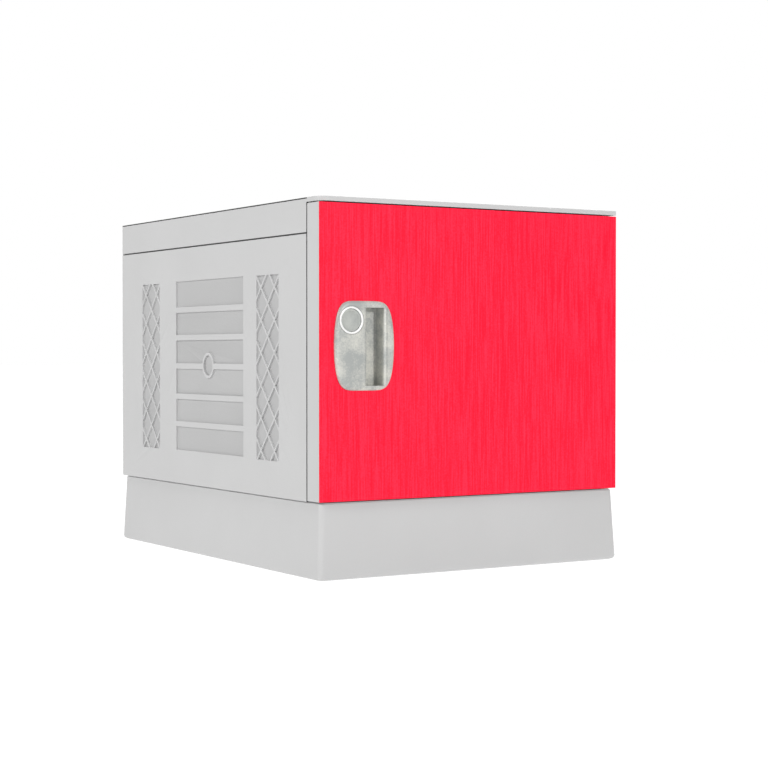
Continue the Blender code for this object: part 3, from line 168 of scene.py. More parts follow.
class LockerSizes(bpy.types.PropertyGroup):
    """Small sizes of the surface, which the frame leaves open"""

    panel_round: length_property("Panel edge", "Radius of the moulded panels' edges", 0.5 * MM)
    lip_round: length_property("Lip edge", "Radius of the cap's outer edges", 1.3 * MM)
    plinth_round: length_property("Plinth edge", "Radius of the plinth's hard edges", 0.8 * MM)
    door_round: length_property("Door edge", "Radius of the door sheet's edges", 0.6 * MM)
    metal_round: length_property("Metal edge", "Radius of the cut edges of metal pieces", 0.25 * MM)
    recess_lead: length_property(
        "Finger lead-in", "Width of the rolled edge at the left of the recess", 3.4 * MM
    )
    recess_rim: length_property(
        "Recess rim", "Width of the bevel at the right of the recess", 2.3 * MM
    )
    recess_corner: length_property(
        "Recess corner", "Radius of the finger recess's inner corners", 0.6 * MM
    )
    grain_pitch: length_property(
        "Door grain", "Distance between the streaks of the door's grain", 1.3 * MM
    )
    grain_length: length_property("Door grain length", "Usual length of one streak", 45 * MM)
    mould_grain: length_property("Mould grain", "Size of the moulded panels' fine grain", 0.9 * MM)


class LockerColours(bpy.types.PropertyGroup):
    """Colours of the locker's materials"""

    panel: colour_property("Panels", "Light grey moulded ABS", "C2C2C2")
    # Sunk fields: a rougher grain, and a darker colour that is painted shade for the shallow
    # recesses
    field: colour_property("Sunk fields", "The same ABS where the mould is rougher", "B3B3B3")
    door: colour_property("Door", "Bright red of the door sheet", "FF0E33")
    # Door streaks: the lighter red on the grain's crests is a painted highlight
    door_crest_highlight: colour_property("Door streaks", "Lighter red on the grain's crests", "FD2B4A")
    plate: colour_property("Handle plate", "Pale zinc alloy", "A2A5A3")
    # Handle plate patches: warmer, brighter patches that are painted reflection on the zinc
    plate_reflection_patch: colour_property(
        "Handle plate patches", "Warmer, brighter patches of the zinc alloy", "D4D3CA"
    )
    disc: colour_property("Lock disc", "Satin zinc of the lock's disc", "B4B7B2")
    # Edge strips: their dark colour is painted shade, standing for the shadow lines along the cap
    # and beside the door
    seal: colour_property("Edge strips", "Dark rubber along the cap and beside the door", "3A3A3A")


# --- Materials ---------------------------------------------------------------------------------


def add_node(tree, kind, links=None, **settings):
    """A node with its settings, and its inputs set to values or linked to sockets."""
    made = tree.nodes.new(kind)
    for key, value in settings.items():
        setattr(made, key, value)
    for key, value in (links or {}).items():
        if isinstance(value, bpy.types.NodeSocket):
            tree.links.new(value, made.inputs[key])
        else:
            made.inputs[key].default_value = value
    return made


def new_material(name, **sockets):
    """An empty material with one Principled shader, and the shader's own sockets set."""
    material = bpy.data.materials.new(name)
    material.use_nodes = True
    shader = material.node_tree.nodes["Principled BSDF"]
    for key, value in sockets.items():
        shader.inputs[key.replace("_", " ")].default_value = value
    return material, material.node_tree, shader


def wire_up(tree, shader, colour, roughness, bump):
    """Links a finish's colour, roughness and bump to its shader."""
    tree.links.new(colour, shader.inputs["Base Color"])
    tree.links.new(roughness.outputs["Result"], shader.inputs["Roughness"])
    tree.links.new(bump.outputs["Normal"], shader.inputs["Normal"])


def opaque(colour, level=1.0):
    """A colour made lighter or darker by a level, with its alpha."""
    return (*(min(1.0, part * level) for part in colour), 1.0)


def moulded_abs(name, colour, grain, depth):
    """ABS from a spark-eroded mould: an even, slightly cloudy grey with a fine matt grain."""
    material, tree, shader = new_material(name, IOR=1.53)
    shader.inputs["Specular IOR Level"].default_value = 0.35
    place = add_node(tree, "ShaderNodeTexCoord").outputs["Object"]
    cloud = add_node(
        tree, "ShaderNodeTexNoise", {"Vector": place, "Scale": 1 / (90 * MM), "Detail": 3.0}
    )
    fine = add_node(
        tree, "ShaderNodeTexNoise", {"Vector": place, "Scale": 1 / grain, "Detail": 2.0}
    )
    soft = add_node(
        tree,
        "ShaderNodeMapRange",
        {"Value": cloud.outputs["Fac"], "From Min": 0.3, "From Max": 0.7},
    )
    tint = add_node(
        tree,
        "ShaderNodeMix",
        {0: soft.outputs["Result"], 6: opaque(colour, 0.975), 7: opaque(colour, 1.02)},
        data_type="RGBA",
    )
    speck = add_node(
        tree,
        "ShaderNodeMapRange",
        {"Value": fine.outputs["Fac"], "From Min": 0.35, "From Max": 0.65, "To Max": 0.5},
    )
    grainy = add_node(
        tree,
        "ShaderNodeMix",
        {0: speck.outputs["Result"], 6: tint.outputs[2], 7: opaque(colour, 0.96)},
        data_type="RGBA",
    )
    rough = add_node(
        tree,
        "ShaderNodeMapRange",
        {"Value": fine.outputs["Fac"], "To Min": 0.44, "To Max": 0.6},
    )
    bump = add_node(
        tree, "ShaderNodeBump", {"Height": fine.outputs["Fac"], "Distance": depth, "Strength": 0.6}
    )
    wire_up(tree, shader, grainy.outputs[2], rough, bump)
    return material


def embossed_sheet(sizes, colours):
    """Red ABS sheet with an embossed upright grain: long fine streaks that catch the light, with a
    painted highlight of lighter red on their crests.
    """
    material, tree, shader = new_material("embossed red ABS sheet with painted crest highlights", IOR=1.53)
    shader.inputs["Specular IOR Level"].default_value = 0.12
    place = add_node(tree, "ShaderNodeTexCoord").outputs["Object"]
    across, along = 1 / sizes.grain_pitch, 1 / sizes.grain_length
    stretched = add_node(
        tree, "ShaderNodeMapping", {"Vector": place, "Scale": (across, across, along)}
    )
    streak = add_node(
        tree,
        "ShaderNodeTexNoise",
        {"Vector": stretched.outputs["Vector"], "Scale": 1.0, "Detail": 3.0, "Roughness": 0.6},
    )
    speck = add_node(
        tree,
        "ShaderNodeTexNoise",
        {"Vector": place, "Scale": 1 / (1.6 * MM), "Detail": 2.0},
    )
    both = add_node(
        tree,
        "ShaderNodeMix",
        {0: 0.3, 2: streak.outputs["Fac"], 3: speck.outputs["Fac"]},
        data_type="FLOAT",
    )
    # Lighter red where the grain stands highest: a painted highlight on the crests
    crest_highlight = add_node(
        tree,
        "ShaderNodeMapRange",
        {"Value": both.outputs[0], "From Min": 0.42, "From Max": 0.6},
    )
    tint = add_node(
        tree,
        "ShaderNodeMix",
        {0: crest_highlight.outputs["Result"], 6: opaque(colours.door), 7: opaque(colours.door_crest_highlight)},
        data_type="RGBA",
    )
    rough = add_node(
        tree,
        "ShaderNodeMapRange",
        {"Value": streak.outputs["Fac"], "To Min": 0.38, "To Max": 0.55},
    )
    bump = add_node(
        tree, "ShaderNodeBump", {"Height": both.outputs[0], "Distance": 0.15 * MM, "Strength": 0.5}
    )
    wire_up(tree, shader, tint.outputs[2], rough, bump)
    return material


def cast_metal(name, colour, reflection_patch, metallic, roughness):
    """Satin die-cast zinc: pale and a little cloudy, with soft patches of painted reflection."""
    material, tree, shader = new_material(name, Metallic=metallic)
    place = add_node(tree, "ShaderNodeTexCoord").outputs["Object"]
    cloud = add_node(
        tree,
        "ShaderNodeTexNoise",
        {"Vector": place, "Scale": 1 / (22 * MM), "Detail": 3.0, "Roughness": 0.55},
    )
    grain = add_node(
        tree, "ShaderNodeTexNoise", {"Vector": place, "Scale": 1 / (0.6 * MM), "Detail": 2.0}
    )
    speckle = add_node(
        tree, "ShaderNodeTexNoise", {"Vector": place, "Scale": 1 / (1.8 * MM), "Detail": 2.0}
    )
    # Patches of painted reflection, blended over the base colour
    reflection_mottle = add_node(
        tree,
        "ShaderNodeMix",
        {0: 0.3, 2: cloud.outputs["Fac"], 3: speckle.outputs["Fac"]},
        data_type="FLOAT",
    )
    share = add_node(
        tree,
        "ShaderNodeMapRange",
        {"Value": reflection_mottle.outputs[0], "From Min": 0.42, "From Max": 0.66},
    )
    tint = add_node(
        tree,
        "ShaderNodeMix",
        {0: share.outputs["Result"], 6: opaque(colour), 7: opaque(reflection_patch)},
        data_type="RGBA",
    )
    rough = add_node(
        tree,
        "ShaderNodeMapRange",
        {"Value": cloud.outputs["Fac"], "To Min": roughness - 0.07, "To Max": roughness + 0.07},
    )
    bump = add_node(
        tree,
        "ShaderNodeBump",
        {"Height": grain.outputs["Fac"], "Distance": 0.02 * MM, "Strength": 0.4},
    )
    wire_up(tree, shader, tint.outputs[2], rough, bump)
    return material


def brushed_metal(name, colour, along, roughness):
    """Plated or rolled metal with fine marks running one way, which stretch its highlights."""
    material, tree, shader = new_material(name, Metallic=1.0)
    place = add_node(tree, "ShaderNodeTexCoord").outputs["Object"]
    scale = [1 / (0.4 * MM)] * 3
    scale[along] = 1 / (14 * MM)
    lines = add_node(tree, "ShaderNodeMapping", {"Vector": place, "Scale": scale})
    marks = add_node(
        tree,
        "ShaderNodeTexNoise",
        {"Vector": lines.outputs["Vector"], "Scale": 1.0, "Detail": 3.0},
    )
    tint = add_node(
        tree,
        "ShaderNodeMix",
        {0: marks.outputs["Fac"], 6: opaque(colour, 0.85), 7: opaque(colour, 1.1)},
        data_type="RGBA",
    )
    rough = add_node(
        tree,
        "ShaderNodeMapRange",
        {"Value": marks.outputs["Fac"], "To Min": roughness - 0.08, "To Max": roughness + 0.1},
    )
    bump = add_node(
        tree,
        "ShaderNodeBump",
        {"Height": marks.outputs["Fac"], "Distance": 0.02 * MM, "Strength": 0.4},
    )
    wire_up(tree, shader, tint.outputs[2], rough, bump)
    return material


def plain_polymer(name, colour, roughness, grain):
    """Rubber, nylon or enamel: one colour, broken up by a dusty grain."""
    material, tree, shader = new_material(name, IOR=1.5)
    place = add_node(tree, "ShaderNodeTexCoord").outputs["Object"]
    dust = add_node(
        tree, "ShaderNodeTexNoise", {"Vector": place, "Scale": 1 / grain, "Detail": 4.0}
    )
    tint = add_node(
        tree,
        "ShaderNodeMix",
        {0: dust.outputs["Fac"], 6: opaque(colour, 0.8), 7: opaque(colour, 1.25)},
        data_type="RGBA",
    )
    rough = add_node(
        tree,
        "ShaderNodeMapRange",
        {"Value": dust.outputs["Fac"], "To Min": roughness - 0.08, "To Max": roughness + 0.08},
    )
    bump = add_node(
        tree,
        "ShaderNodeBump",
        {"Height": dust.outputs["Fac"], "Distance": 0.03 * MM, "Strength": 0.4},
    )
    wire_up(tree, shader, tint.outputs[2], rough, bump)
    return material


def material_for(context, slot):
    """The finish of one of the record's material slots, made once."""
    if slot not in MATERIALS:
        sizes, colours = context.scene.locker_sizes, context.scene.locker_colours
        MATERIALS[slot] = FINISHES[slot](sizes, colours)
    return MATERIALS[slot]


MATERIALS = {}
FINISHES = {
    "moulded_grey": lambda sizes, colours: moulded_abs(
        "moulded ABS", colours.panel, sizes.mould_grain, 0.04 * MM
    ),
    # The sunk fields' darker colour is painted shade; their coarser grain and bump are the mould's
    # own
    "sunk_field": lambda sizes, colours: moulded_abs(
        "coarse moulded ABS darkened as painted shade", colours.field, 1.3 * MM, 0.08 * MM
    ),
    "door_red": embossed_sheet,
    "cast_zinc": lambda sizes, colours: cast_metal(
        "satin die-cast zinc with painted reflection patches", colours.plate, colours.plate_reflection_patch, 0.15, 0.42
    ),
    # The disc's mottle is painted reflection as well
    "lock_disc": lambda sizes, colours: cast_metal(
        "satin zinc disc with painted reflection patches", colours.disc, colours.plate, 0.05, 0.6
    ),
    "plated_steel": lambda sizes, colours: brushed_metal(
        "zinc-plated steel", to_linear("C2C4C6"), 2, 0.34
    ),
    "sheet_metal": lambda sizes, colours: brushed_metal(
        "rolled aluminium sheet", to_linear("BFC2C4"), 0, 0.4
    ),
    "bright_ring": lambda sizes, colours: plain_polymer(
        "white enamel", to_linear("F6F6F3"), 0.3, 6 * MM
    ),
    "nylon": lambda sizes, colours: plain_polymer(
        "natural nylon", to_linear("D9D6CA"), 0.45, 3 * MM
    ),
    # This dark colour is painted shade where it lies on the edge strips
    "dark_rubber": lambda sizes, colours: plain_polymer("dark rubber and painted shade strips", colours.seal, 0.7, 2 * MM),
    "black_plastic": lambda sizes, colours: plain_polymer(
        "black moulded nylon", to_linear("1C1C1D"), 0.4, 4 * MM
    ),
    "circuit_board": lambda sizes, colours: plain_polymer(
        "green solder mask", to_linear("1E6B3C"), 0.35, 5 * MM
    ),
}


# --- Mesh helpers ------------------------------------------------------------------------------


def place_piece(name, mesh, node, context, finish=None):
    """A new piece that stands for a CAD node, rides with it and takes its or another finish."""
    piece = bpy.data.objects.new(name, mesh)
    context.scene.collection.objects.link(piece)
    if not mesh.materials:
        mesh.materials.append(material_for(context, finish or SLOT_OF[node]))
    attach(piece, BODY_OF[node])
    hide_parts(node)
    return piece


def round_edges(piece, radius, segments=3, angle=40):
    """Rounds every edge sharper than the angle."""
    bevel = piece.modifiers.new("rounded edges", "BEVEL")
    bevel.width = radius
    bevel.segments = segments
    bevel.limit_method = "ANGLE"
    bevel.angle_limit = math.radians(angle)
    bevel.use_clamp_overlap = True
    bevel.harden_normals = False
    piece.data.shade_smooth()
    piece.data.set_sharp_from_angle(angle=math.radians(angle))


def clean_solid(node):
    """The CAD node's solid as a new mesh, with its flat faces whole again."""
    bm = bmesh.new()
    bm.from_mesh(frame["nodes"][node].data)
    bmesh.ops.remove_doubles(bm, verts=bm.verts, dist=0.5e-6)
    bmesh.ops.dissolve_limit(
        bm,
        angle_limit=math.radians(0.5),
        verts=bm.verts,
        edges=bm.edges,
        use_dissolve_boundaries=False,
    )
    bmesh.ops.recalc_face_normals(bm, faces=bm.faces)
    mesh = bpy.data.meshes.new(node + "_finished")
    bm.to_mesh(mesh)
    bm.free()
    return mesh


def refine(context, node, radius, segments=3):
    """The CAD solid with soft edges and its finish."""
    piece = place_piece(node + "_finished", clean_solid(node), node, context)
    round_edges(piece, radius, segments)
    return piece


def spin_profile(bm, profile, sides):
    """A profile of (radius, height) turned about +Z into a closed skin."""
    verts = [bm.verts.new((radius, 0, height)) for radius, height in profile]
    closed = profile[0][0] > 0 and profile[-1][0] > 0
    following = verts[1:] + verts[:1] if closed else verts[1:]
    edges = [bm.edges.new(pair) for pair in zip(verts, following)]
    bmesh.ops.spin(
        bm,
        geom=verts + edges,
        cent=(0, 0, 0),
        axis=(0, 0, 1),
        angle=math.tau,
        steps=sides,
        use_merge=True,
        use_duplicate=False,
    )
    bmesh.ops.remove_doubles(bm, verts=bm.verts, dist=1e-7)


def turned_mesh(name, profile, place, facing, sides=96):
    """A turned piece whose +Z faces along a direction."""
    bm = bmesh.new()
    spin_profile(bm, profile, sides)
    bmesh.ops.recalc_face_normals(bm, faces=bm.faces)
    turn = Vector((0, 0, 1)).rotation_difference(Vector(facing)).to_matrix().to_4x4()
    bmesh.ops.transform(bm, matrix=Matrix.Translation(place) @ turn, verts=bm.verts)
    mesh = bpy.data.meshes.new(name)
    bm.to_mesh(mesh)
    bm.free()
    mesh.shade_smooth()
    mesh.set_sharp_from_angle(angle=math.radians(40))
    return mesh


def barrel_outline(half_width, half_height, count):
    """A curve with bulging sides and a nearly flat top and foot, after the frame's plate."""
    points = []
    for step in range(count):
        angle = math.tau * step / count
        across = math.copysign(abs(math.cos(angle)) ** (2 / PLATE_POWER_ACROSS), math.cos(angle))
        up = math.copysign(abs(math.sin(angle)) ** (2 / PLATE_POWER_UP), math.sin(angle))
        points.append((half_width * across, half_height * up))
    return points


def lofted_mesh(name, rings):
    """Rings of points bridged one to the next, closed at both ends."""
    bm = bmesh.new()
    loops = []
    for ring in rings:
        verts = [bm.verts.new(point) for point in ring]
        loops.append(verts)
    for first, second in zip(loops, loops[1:]):
        for index, vert in enumerate(first):
            after = (index + 1) % len(first)
            bm.faces.new((vert, first[after], second[after], second[index]))
    bm.faces.new(loops[0])
    bm.faces.new(loops[-1])
    bmesh.ops.recalc_face_normals(bm, faces=bm.faces)
    mesh = bpy.data.meshes.new(name)
    bm.to_mesh(mesh)
    bm.free()
    return mesh


def prism_mesh(name, outline, low, high):
    """An outline of (X, Y) extruded from one height to another."""
    return lofted_mesh(name, [[(x, y, z) for x, y in outline] for z in (low, high)])


def box_mesh(name, low, high):
    outline = [(low[0], low[1]), (high[0], low[1]), (high[0], high[1]), (low[0], high[1])]
    return prism_mesh(name, outline, low[2], high[2])


def combine(piece, operation, *meshes):
    """Joins or cuts each mesh and keeps only the result."""
    for mesh in meshes:
        helper = bpy.data.objects.new("helper", mesh)
        bpy.context.scene.collection.objects.link(helper)
        boolean = piece.modifiers.new("shape", "BOOLEAN")
        boolean.operation = operation
        boolean.object = helper
        result = evaluated_mesh(piece)
        piece.modifiers.remove(boolean)
        old = piece.data
        piece.data = result
        bpy.data.meshes.remove(old)
        bpy.data.objects.remove(helper)
        bpy.data.meshes.remove(mesh)


def evaluated_mesh(piece):
    bpy.context.view_layer.update()
    graph = bpy.context.evaluated_depsgraph_get()
    return bpy.data.meshes.new_from_object(piece.evaluated_get(graph))


def middle(node):
    low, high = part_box(node)
    return (low + high) / 2


# --- Pieces ------------------------------------------------------------------------------------


class LOCKER_OT_plinth(bpy.types.Operator):
    """Finish the flared plinth with soft corners"""

    bl_idname = "locker.plinth"
    bl_label = "Plinth"

    def execute(self, context):
        refine(context, "plinth", context.scene.locker_sizes.plinth_round)
        return {"FINISHED"}


class LOCKER_OT_panels(bpy.types.Operator):
    """Finish the side, back, floor and roof panels, with a rougher finish in their sunk fields,
    whose darker colour is painted shade
    """

    bl_idname = "locker.panels"
    bl_label = "Panels"

    def execute(self, context):
        radius = context.scene.locker_sizes.panel_round
        faces_out = {
            "left_side_panel": (-1, 0, 0),
            "right_side_panel": (1, 0, 0),
            "back_panel": (0, 1, 0),
        }
        for node, facing in faces_out.items():
            piece = refine(context, node, radius, 2)
            mark_shaded_sunk_faces(context, piece, Vector(facing))
        for node in ("floor_panel", "roof_panel"):
            refine(context, node, radius, 2)
        return {"FINISHED"}


def mark_shaded_sunk_faces(context, piece, facing):
    """Gives the faces that lie just below the outer face the rougher finish, whose darker colour is
    painted shade.
    """
    piece.data.materials.append(material_for(context, "sunk_field"))
    outer = max(facing.dot(vert.co) for vert in piece.data.vertices)
    nearest, deepest = FIELD_SUNK
    for face in piece.data.polygons:
        depth = outer - facing.dot(face.center)
        if face.normal.dot(facing) > 0.99 and nearest < depth < deepest:
            face.material_index = 1


class LOCKER_OT_joint_plugs(bpy.types.Operator):
    """Turn the plugs of the side panels' joining holes"""

    bl_idname = "locker.joint_plugs"
    bl_label = "Joint plugs"

    def execute(self, context):
        for node, side in (("left_joint_plug", -1), ("right_joint_plug", 1)):
            low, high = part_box(node)
            radius = (high.z - low.z) / 2
            length = high.x - low.x
            profile = [
                (0, length - PLUG_DISH),
                (radius - 2 * PLUG_RIM, length - PLUG_DISH),
                (radius - PLUG_RIM, length),
                (radius - PLUG_EDGE, length),
                (radius, length - PLUG_EDGE),
                (radius, 0),
                (0, 0),
            ]
            centre = middle(node)
            foot = (high.x if side < 0 else low.x, centre.y, centre.z)
            mesh = turned_mesh(node + "_finished", profile, foot, (side, 0, 0))
            # The plug takes the darker sunk-field colour, painted shade for its sunk face
            place_piece(node + "_finished", mesh, node, context, "sunk_field")
        return {"FINISHED"}


class LOCKER_OT_cap(bpy.types.Operator):
    """Finish the cap with its rounded lip, and the dark strips round the cabinet's edges, which
    stand as painted shade for the joints' shadow lines
    """

    bl_idname = "locker.cap"
    bl_label = "Cap"

    def execute(self, context):
        sizes = context.scene.locker_sizes
        refine(context, "top_cap", sizes.lip_round)
        # The seal strips are dark as painted shade for the shadow lines of the joints
        for node in ("left_edge", "right_edge", "left_door", "right_door", "cap"):
            refine(context, node + "_seal", sizes.metal_round)
        return {"FINISHED"}


class LOCKER_OT_door(bpy.types.Operator):
    """Finish the door's grey shell and its red sheet"""

    bl_idname = "locker.door"
    bl_label = "Door"

    def execute(self, context):
        sizes = context.scene.locker_sizes
        refine(context, "door_shell", sizes.panel_round)
        refine(context, "door_front_sheet", sizes.door_round / 2)
        return {"FINISHED"}


class LOCKER_OT_handle_plate(bpy.types.Operator):
    """Build the crowned handle plate with its finger recess"""

    bl_idname = "locker.handle_plate"
    bl_label = "Handle plate"

    def execute(self, context):
        sizes = context.scene.locker_sizes
        mesh = crowned_plate()
        piece = place_piece("handle_plate_finished", mesh, "handle_plate", context)
        combine(piece, "UNION", cup_shell())
        combine(piece, "DIFFERENCE", recess_cutter(sizes), rim_groove(sizes), *lock_seat_cutters())
        round_edges(piece, PLATE_EDGE, 3, 35)
        return {"FINISHED"}


def plate_face():
    """Where the plate's outer face lies along Y."""
    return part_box("handle_plate")[0].y


def crowned_plate():
    """A barrel-shaped outline, thin at its rim and crowned towards a flat middle."""
    low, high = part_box("handle_plate")
    centre = (low + high) / 2
    half_width, half_height = (high.x - low.x) / 2, (high.z - low.z) / 2
    back = plate_face() + PLATE_THICKNESS
    crown = back - PLATE_RIM - plate_face()
    stations = [(0.0, back), (0.0, back - PLATE_RIM)]
    for step in range(1, PLATE_SHOULDER_STEPS + 1):
        turn = math.pi / 2 * step / PLATE_SHOULDER_STEPS
        inset = PLATE_SHOULDER * (1 - math.cos(turn))
        stations.append((inset, back - PLATE_RIM - crown * math.sin(turn)))
    rings = []
    for inset, y in stations:
        outline = barrel_outline(half_width - inset, half_height - inset, PLATE_POINTS)
        rings.append([(centre.x + x, y, centre.z + z) for x, z in outline])
    return lofted_mesh("handle_plate_finished", rings)


def recess_box():
    """Low and high corner of the finger recess, from the opening stated in the record."""
    openings = frame["record"]["physics"]["openings"]
    opening = next(opening for opening in openings if opening["name"] == "finger_recess")
    low, high = (Vector(corner) for corner in opening["box_m"])
    margin = Vector((RECESS_MARGIN, 0, RECESS_MARGIN))
    return low - margin, high + margin + Vector((0, RECESS_MARGIN, 0))


def cup_shell():
    """The block behind the plate that the recess is cut into."""
    low, high = recess_box()
    wall = Vector((CUP_WALL, CUP_WALL, CUP_WALL))
    corner = low - wall
    corner.y = plate_face() + PLATE_THICKNESS - CUP_OVERLAP
    return box_mesh("cup", corner, high + wall)


def quarter_arc(centre, radius, start, steps=RECESS_STEPS):
    """Points of a quarter turn that starts at an angle in quarter turns."""
    points = []
    for step in range(steps + 1):
        turn = math.pi / 2 * (start + step / steps)
        points.append((centre[0] + radius * math.cos(turn), centre[1] + radius * math.sin(turn)))
    return points


def recess_cutter(sizes):
    """The recess from above: a rolled lead-in at the left, a straight wall at the right."""
    low, high = recess_box()
    face = plate_face()
    ahead = face - CUT_AHEAD
    rim = high.x + sizes.recess_rim
    corner, lead = sizes.recess_corner, sizes.recess_lead
    outline = [
        (rim, ahead),
        (rim, face),
        (high.x, face + RECESS_RIM_DEPTH),
        *quarter_arc((high.x - corner, high.y - corner), corner, 0),
        *quarter_arc((low.x + corner, high.y - corner), corner, 1),
        *reversed(quarter_arc((low.x - lead, face + lead), lead, 3)),
        (low.x - lead, ahead),
    ]
    return prism_mesh("recess", outline, low.z, high.z)


def rim_groove(sizes):
    """A fine upright groove beside the bevel at the right of the recess."""
    low, high = recess_box()
    face = plate_face()
    start = high.x + sizes.recess_rim + GROOVE_WIDTH
    return box_mesh(
        "groove",
        (start, face - CUT_AHEAD, low.z),
        (start + GROOVE_WIDTH, face + GROOVE_DEPTH, high.z),
    )


def lock_seat_cutters():
    """The ring's seat, and the disc's hole through the plate."""
    ring_low, ring_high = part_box("lock_ring")
    plug_low, plug_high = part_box("lock_plug")
    centre = (ring_low + ring_high) / 2
    ring_radius = (ring_high.x - ring_low.x) / 2 + LOCK_GAP
    disc_radius = (plug_high.x - plug_low.x) / 2 + LOCK_GAP
    front = plate_face() - CUT_AHEAD
    cutters = []
    for radius, back in (
        (ring_radius, ring_high.y + LOCK_GAP),
        (disc_radius, plate_face() + DISC_HOLE_DEPTH),
    ):
        profile = [(0, 0), (radius, 0), (radius, back - front), (0, back - front)]
        cutters.append(turned_mesh("seat", profile, (centre.x, front, centre.z), (0, 1, 0)))
    return cutters


class LOCKER_OT_lock(bpy.types.Operator):
    """Turn the lock's white ring and its blank disc on the spindle"""

    bl_idname = "locker.lock"
    bl_label = "Lock"

    def execute(self, context):
        make_ring(context)
        make_disc(context)
        for node in ("lock_barrel", "lock_nut", "lock_cam"):
            refine(context, node, context.scene.locker_sizes.metal_round, 2)
        return {"FINISHED"}


def make_ring(context):
    """A flat ring with a softly crowned face."""
    low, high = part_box("lock_ring")
    plug_low, plug_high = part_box("lock_plug")
    outer = (high.x - low.x) / 2 - RING_SINK
    inner = (plug_high.x - plug_low.x) / 2 + LOCK_GAP
    shoulder = high.y - low.y - RING_CROWN
    half = (outer - inner) / 2
    profile = [(inner, 0), (outer, 0)]
    for step in range(RING_STEPS + 1):
        turn = math.pi * step / RING_STEPS
        across = inner + half + half * math.cos(turn)
        profile.append((across, shoulder + RING_CROWN * math.sin(turn)))
    centre = middle("lock_ring")
    foot = (centre.x, high.y, centre.z)
    mesh = turned_mesh("lock_ring_finished", profile, foot, (0, -1, 0), 128)
    place_piece("lock_ring_finished", mesh, "lock_ring", context)


def make_disc(context):
    """Disc with a fine rim groove, and the spindle behind it."""
    low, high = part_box("lock_plug")
    radius = (high.x - low.x) / 2
    length = high.y - low.y
    profile = [
        (0, length),
        (radius - 3 * DISC_GROOVE, length),
        (radius - 2.4 * DISC_GROOVE, length - DISC_GROOVE_DEPTH),
        (radius - 1.8 * DISC_GROOVE, length),
        (radius - DISC_EDGE, length),
        (radius, length - DISC_EDGE),
        (radius, length - DISC_THICKNESS),
        (SPINDLE_RADIUS, length - DISC_THICKNESS),
        (SPINDLE_RADIUS, SPINDLE_EDGE),
        (SPINDLE_RADIUS - SPINDLE_EDGE, 0),
        (0, 0),
    ]
    centre = middle("lock_plug")
    foot = (centre.x, high.y, centre.z)
    mesh = turned_mesh("lock_disc_finished", profile, foot, (0, -1, 0), 128)
    place_piece("lock_disc_finished", mesh, "lock_plug", context, "lock_disc")


class LOCKER_OT_hinge(bpy.types.Operator):
    """Finish the hinge pins and their bushes"""

    bl_idname = "locker.hinge"
    bl_label = "Hinge"

    def execute(self, context):
        for node in ("upper_hinge_bush", "lower_hinge_bush", "upper_hinge_pin", "lower_hinge_pin"):
            refine(context, node, context.scene.locker_sizes.metal_round / 2, 2)
        return {"FINISHED"}


class LOCKER_OT_strike(bpy.types.Operator):
    """Finish the strike plate that the cam turns behind"""

    bl_idname = "locker.strike"
    bl_label = "Strike plate"

    def execute(self, context):
        refine(context, "strike_plate", context.scene.locker_sizes.metal_round, 2)
        return {"FINISHED"}


class LOCKER_OT_charging_unit(bpy.types.Operator):
    """Finish the charging outlet, with a tongue and four contacts in each socket"""

    bl_idname = "locker.charging_unit"
    bl_label = "Charging unit"

    def execute(self, context):
        radius = context.scene.locker_sizes.panel_round
        for node in ("outlet_housing", "outlet_cover"):
            refine(context, node, 2 * radius)
        refine(context, "charger_board", context.scene.locker_sizes.metal_round / 2, 2)
        for node in ("usb_socket_left", "usb_socket_right"):
            refine(context, node, 0.12 * MM, 2)
            make_tongue(context, node)
        return {"FINISHED"}


def make_tongue(context, node):
    """The plastic tongue high in a socket, with its spring contacts."""
    low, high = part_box(node)
    centre = (low + high) / 2
    top = high.z - SOCKET_WALL - 0.4 * MM
    foot = top - TONGUE_THICKNESS
    reach = low.y + TONGUE_SETBACK
    half = (high.x - low.x) / 2 - TONGUE_SETBACK
    low_point = (centre.x - half, reach, foot)
    high_point = (centre.x + half, high.y - 0.6 * MM, top)
    add_fitting(context, node, "tongue", (low_point, high_point), "black_plastic", 0.2 * MM)
    for number in range(CONTACTS):
        x = centre.x + (number - (CONTACTS - 1) / 2) * CONTACT_PITCH
        low_point = (x - CONTACT_WIDTH / 2, reach + 0.6 * MM, foot - 0.22 * MM)
        high_point = (x + CONTACT_WIDTH / 2, high.y - 1.5 * MM, foot + 0.1 * MM)
        name = f"contact_{number + 1}"
        add_fitting(context, node, name, (low_point, high_point), "plated_steel", 0.08 * MM)


def add_fitting(context, node, name, corners, finish, radius):
    """A small rounded block that rides with a CAD node without replacing it."""
    mesh = box_mesh(name, *corners)
    mesh.materials.append(material_for(context, finish))
    fitting = bpy.data.objects.new(f"{node}_{name}", mesh)
    context.scene.collection.objects.link(fitting)
    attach(fitting, BODY_OF[node])
    round_edges(fitting, radius, 2)


class LOCKER_OT_power(bpy.types.Operator):
    """Finish the power supply, the grommet of its wiring and the mains inlet"""

    bl_idname = "locker.power"
    bl_label = "Power supply and inlet"

    def execute(self, context):
        sizes = context.scene.locker_sizes
        for node in ("supply_tray", "supply_lid"):
            refine(context, node, sizes.metal_round, 2)
        refine(context, "wiring_grommet", sizes.panel_round)
        refine(context, "power_inlet", sizes.panel_round / 2, 2)
        return {"FINISHED"}


class LOCKER_OT_screws(bpy.types.Operator):
    """Build the pan-head screws with a cross recess"""

    bl_idname = "locker.screws"
    bl_label = "Screws"

    def execute(self, context):
        for node in sorted(frame["nodes"]):
            for stem, facing in SCREW_FACING.items():
                if node.startswith(stem):
                    make_screw(context, node, Vector(facing))
        return {"FINISHED"}


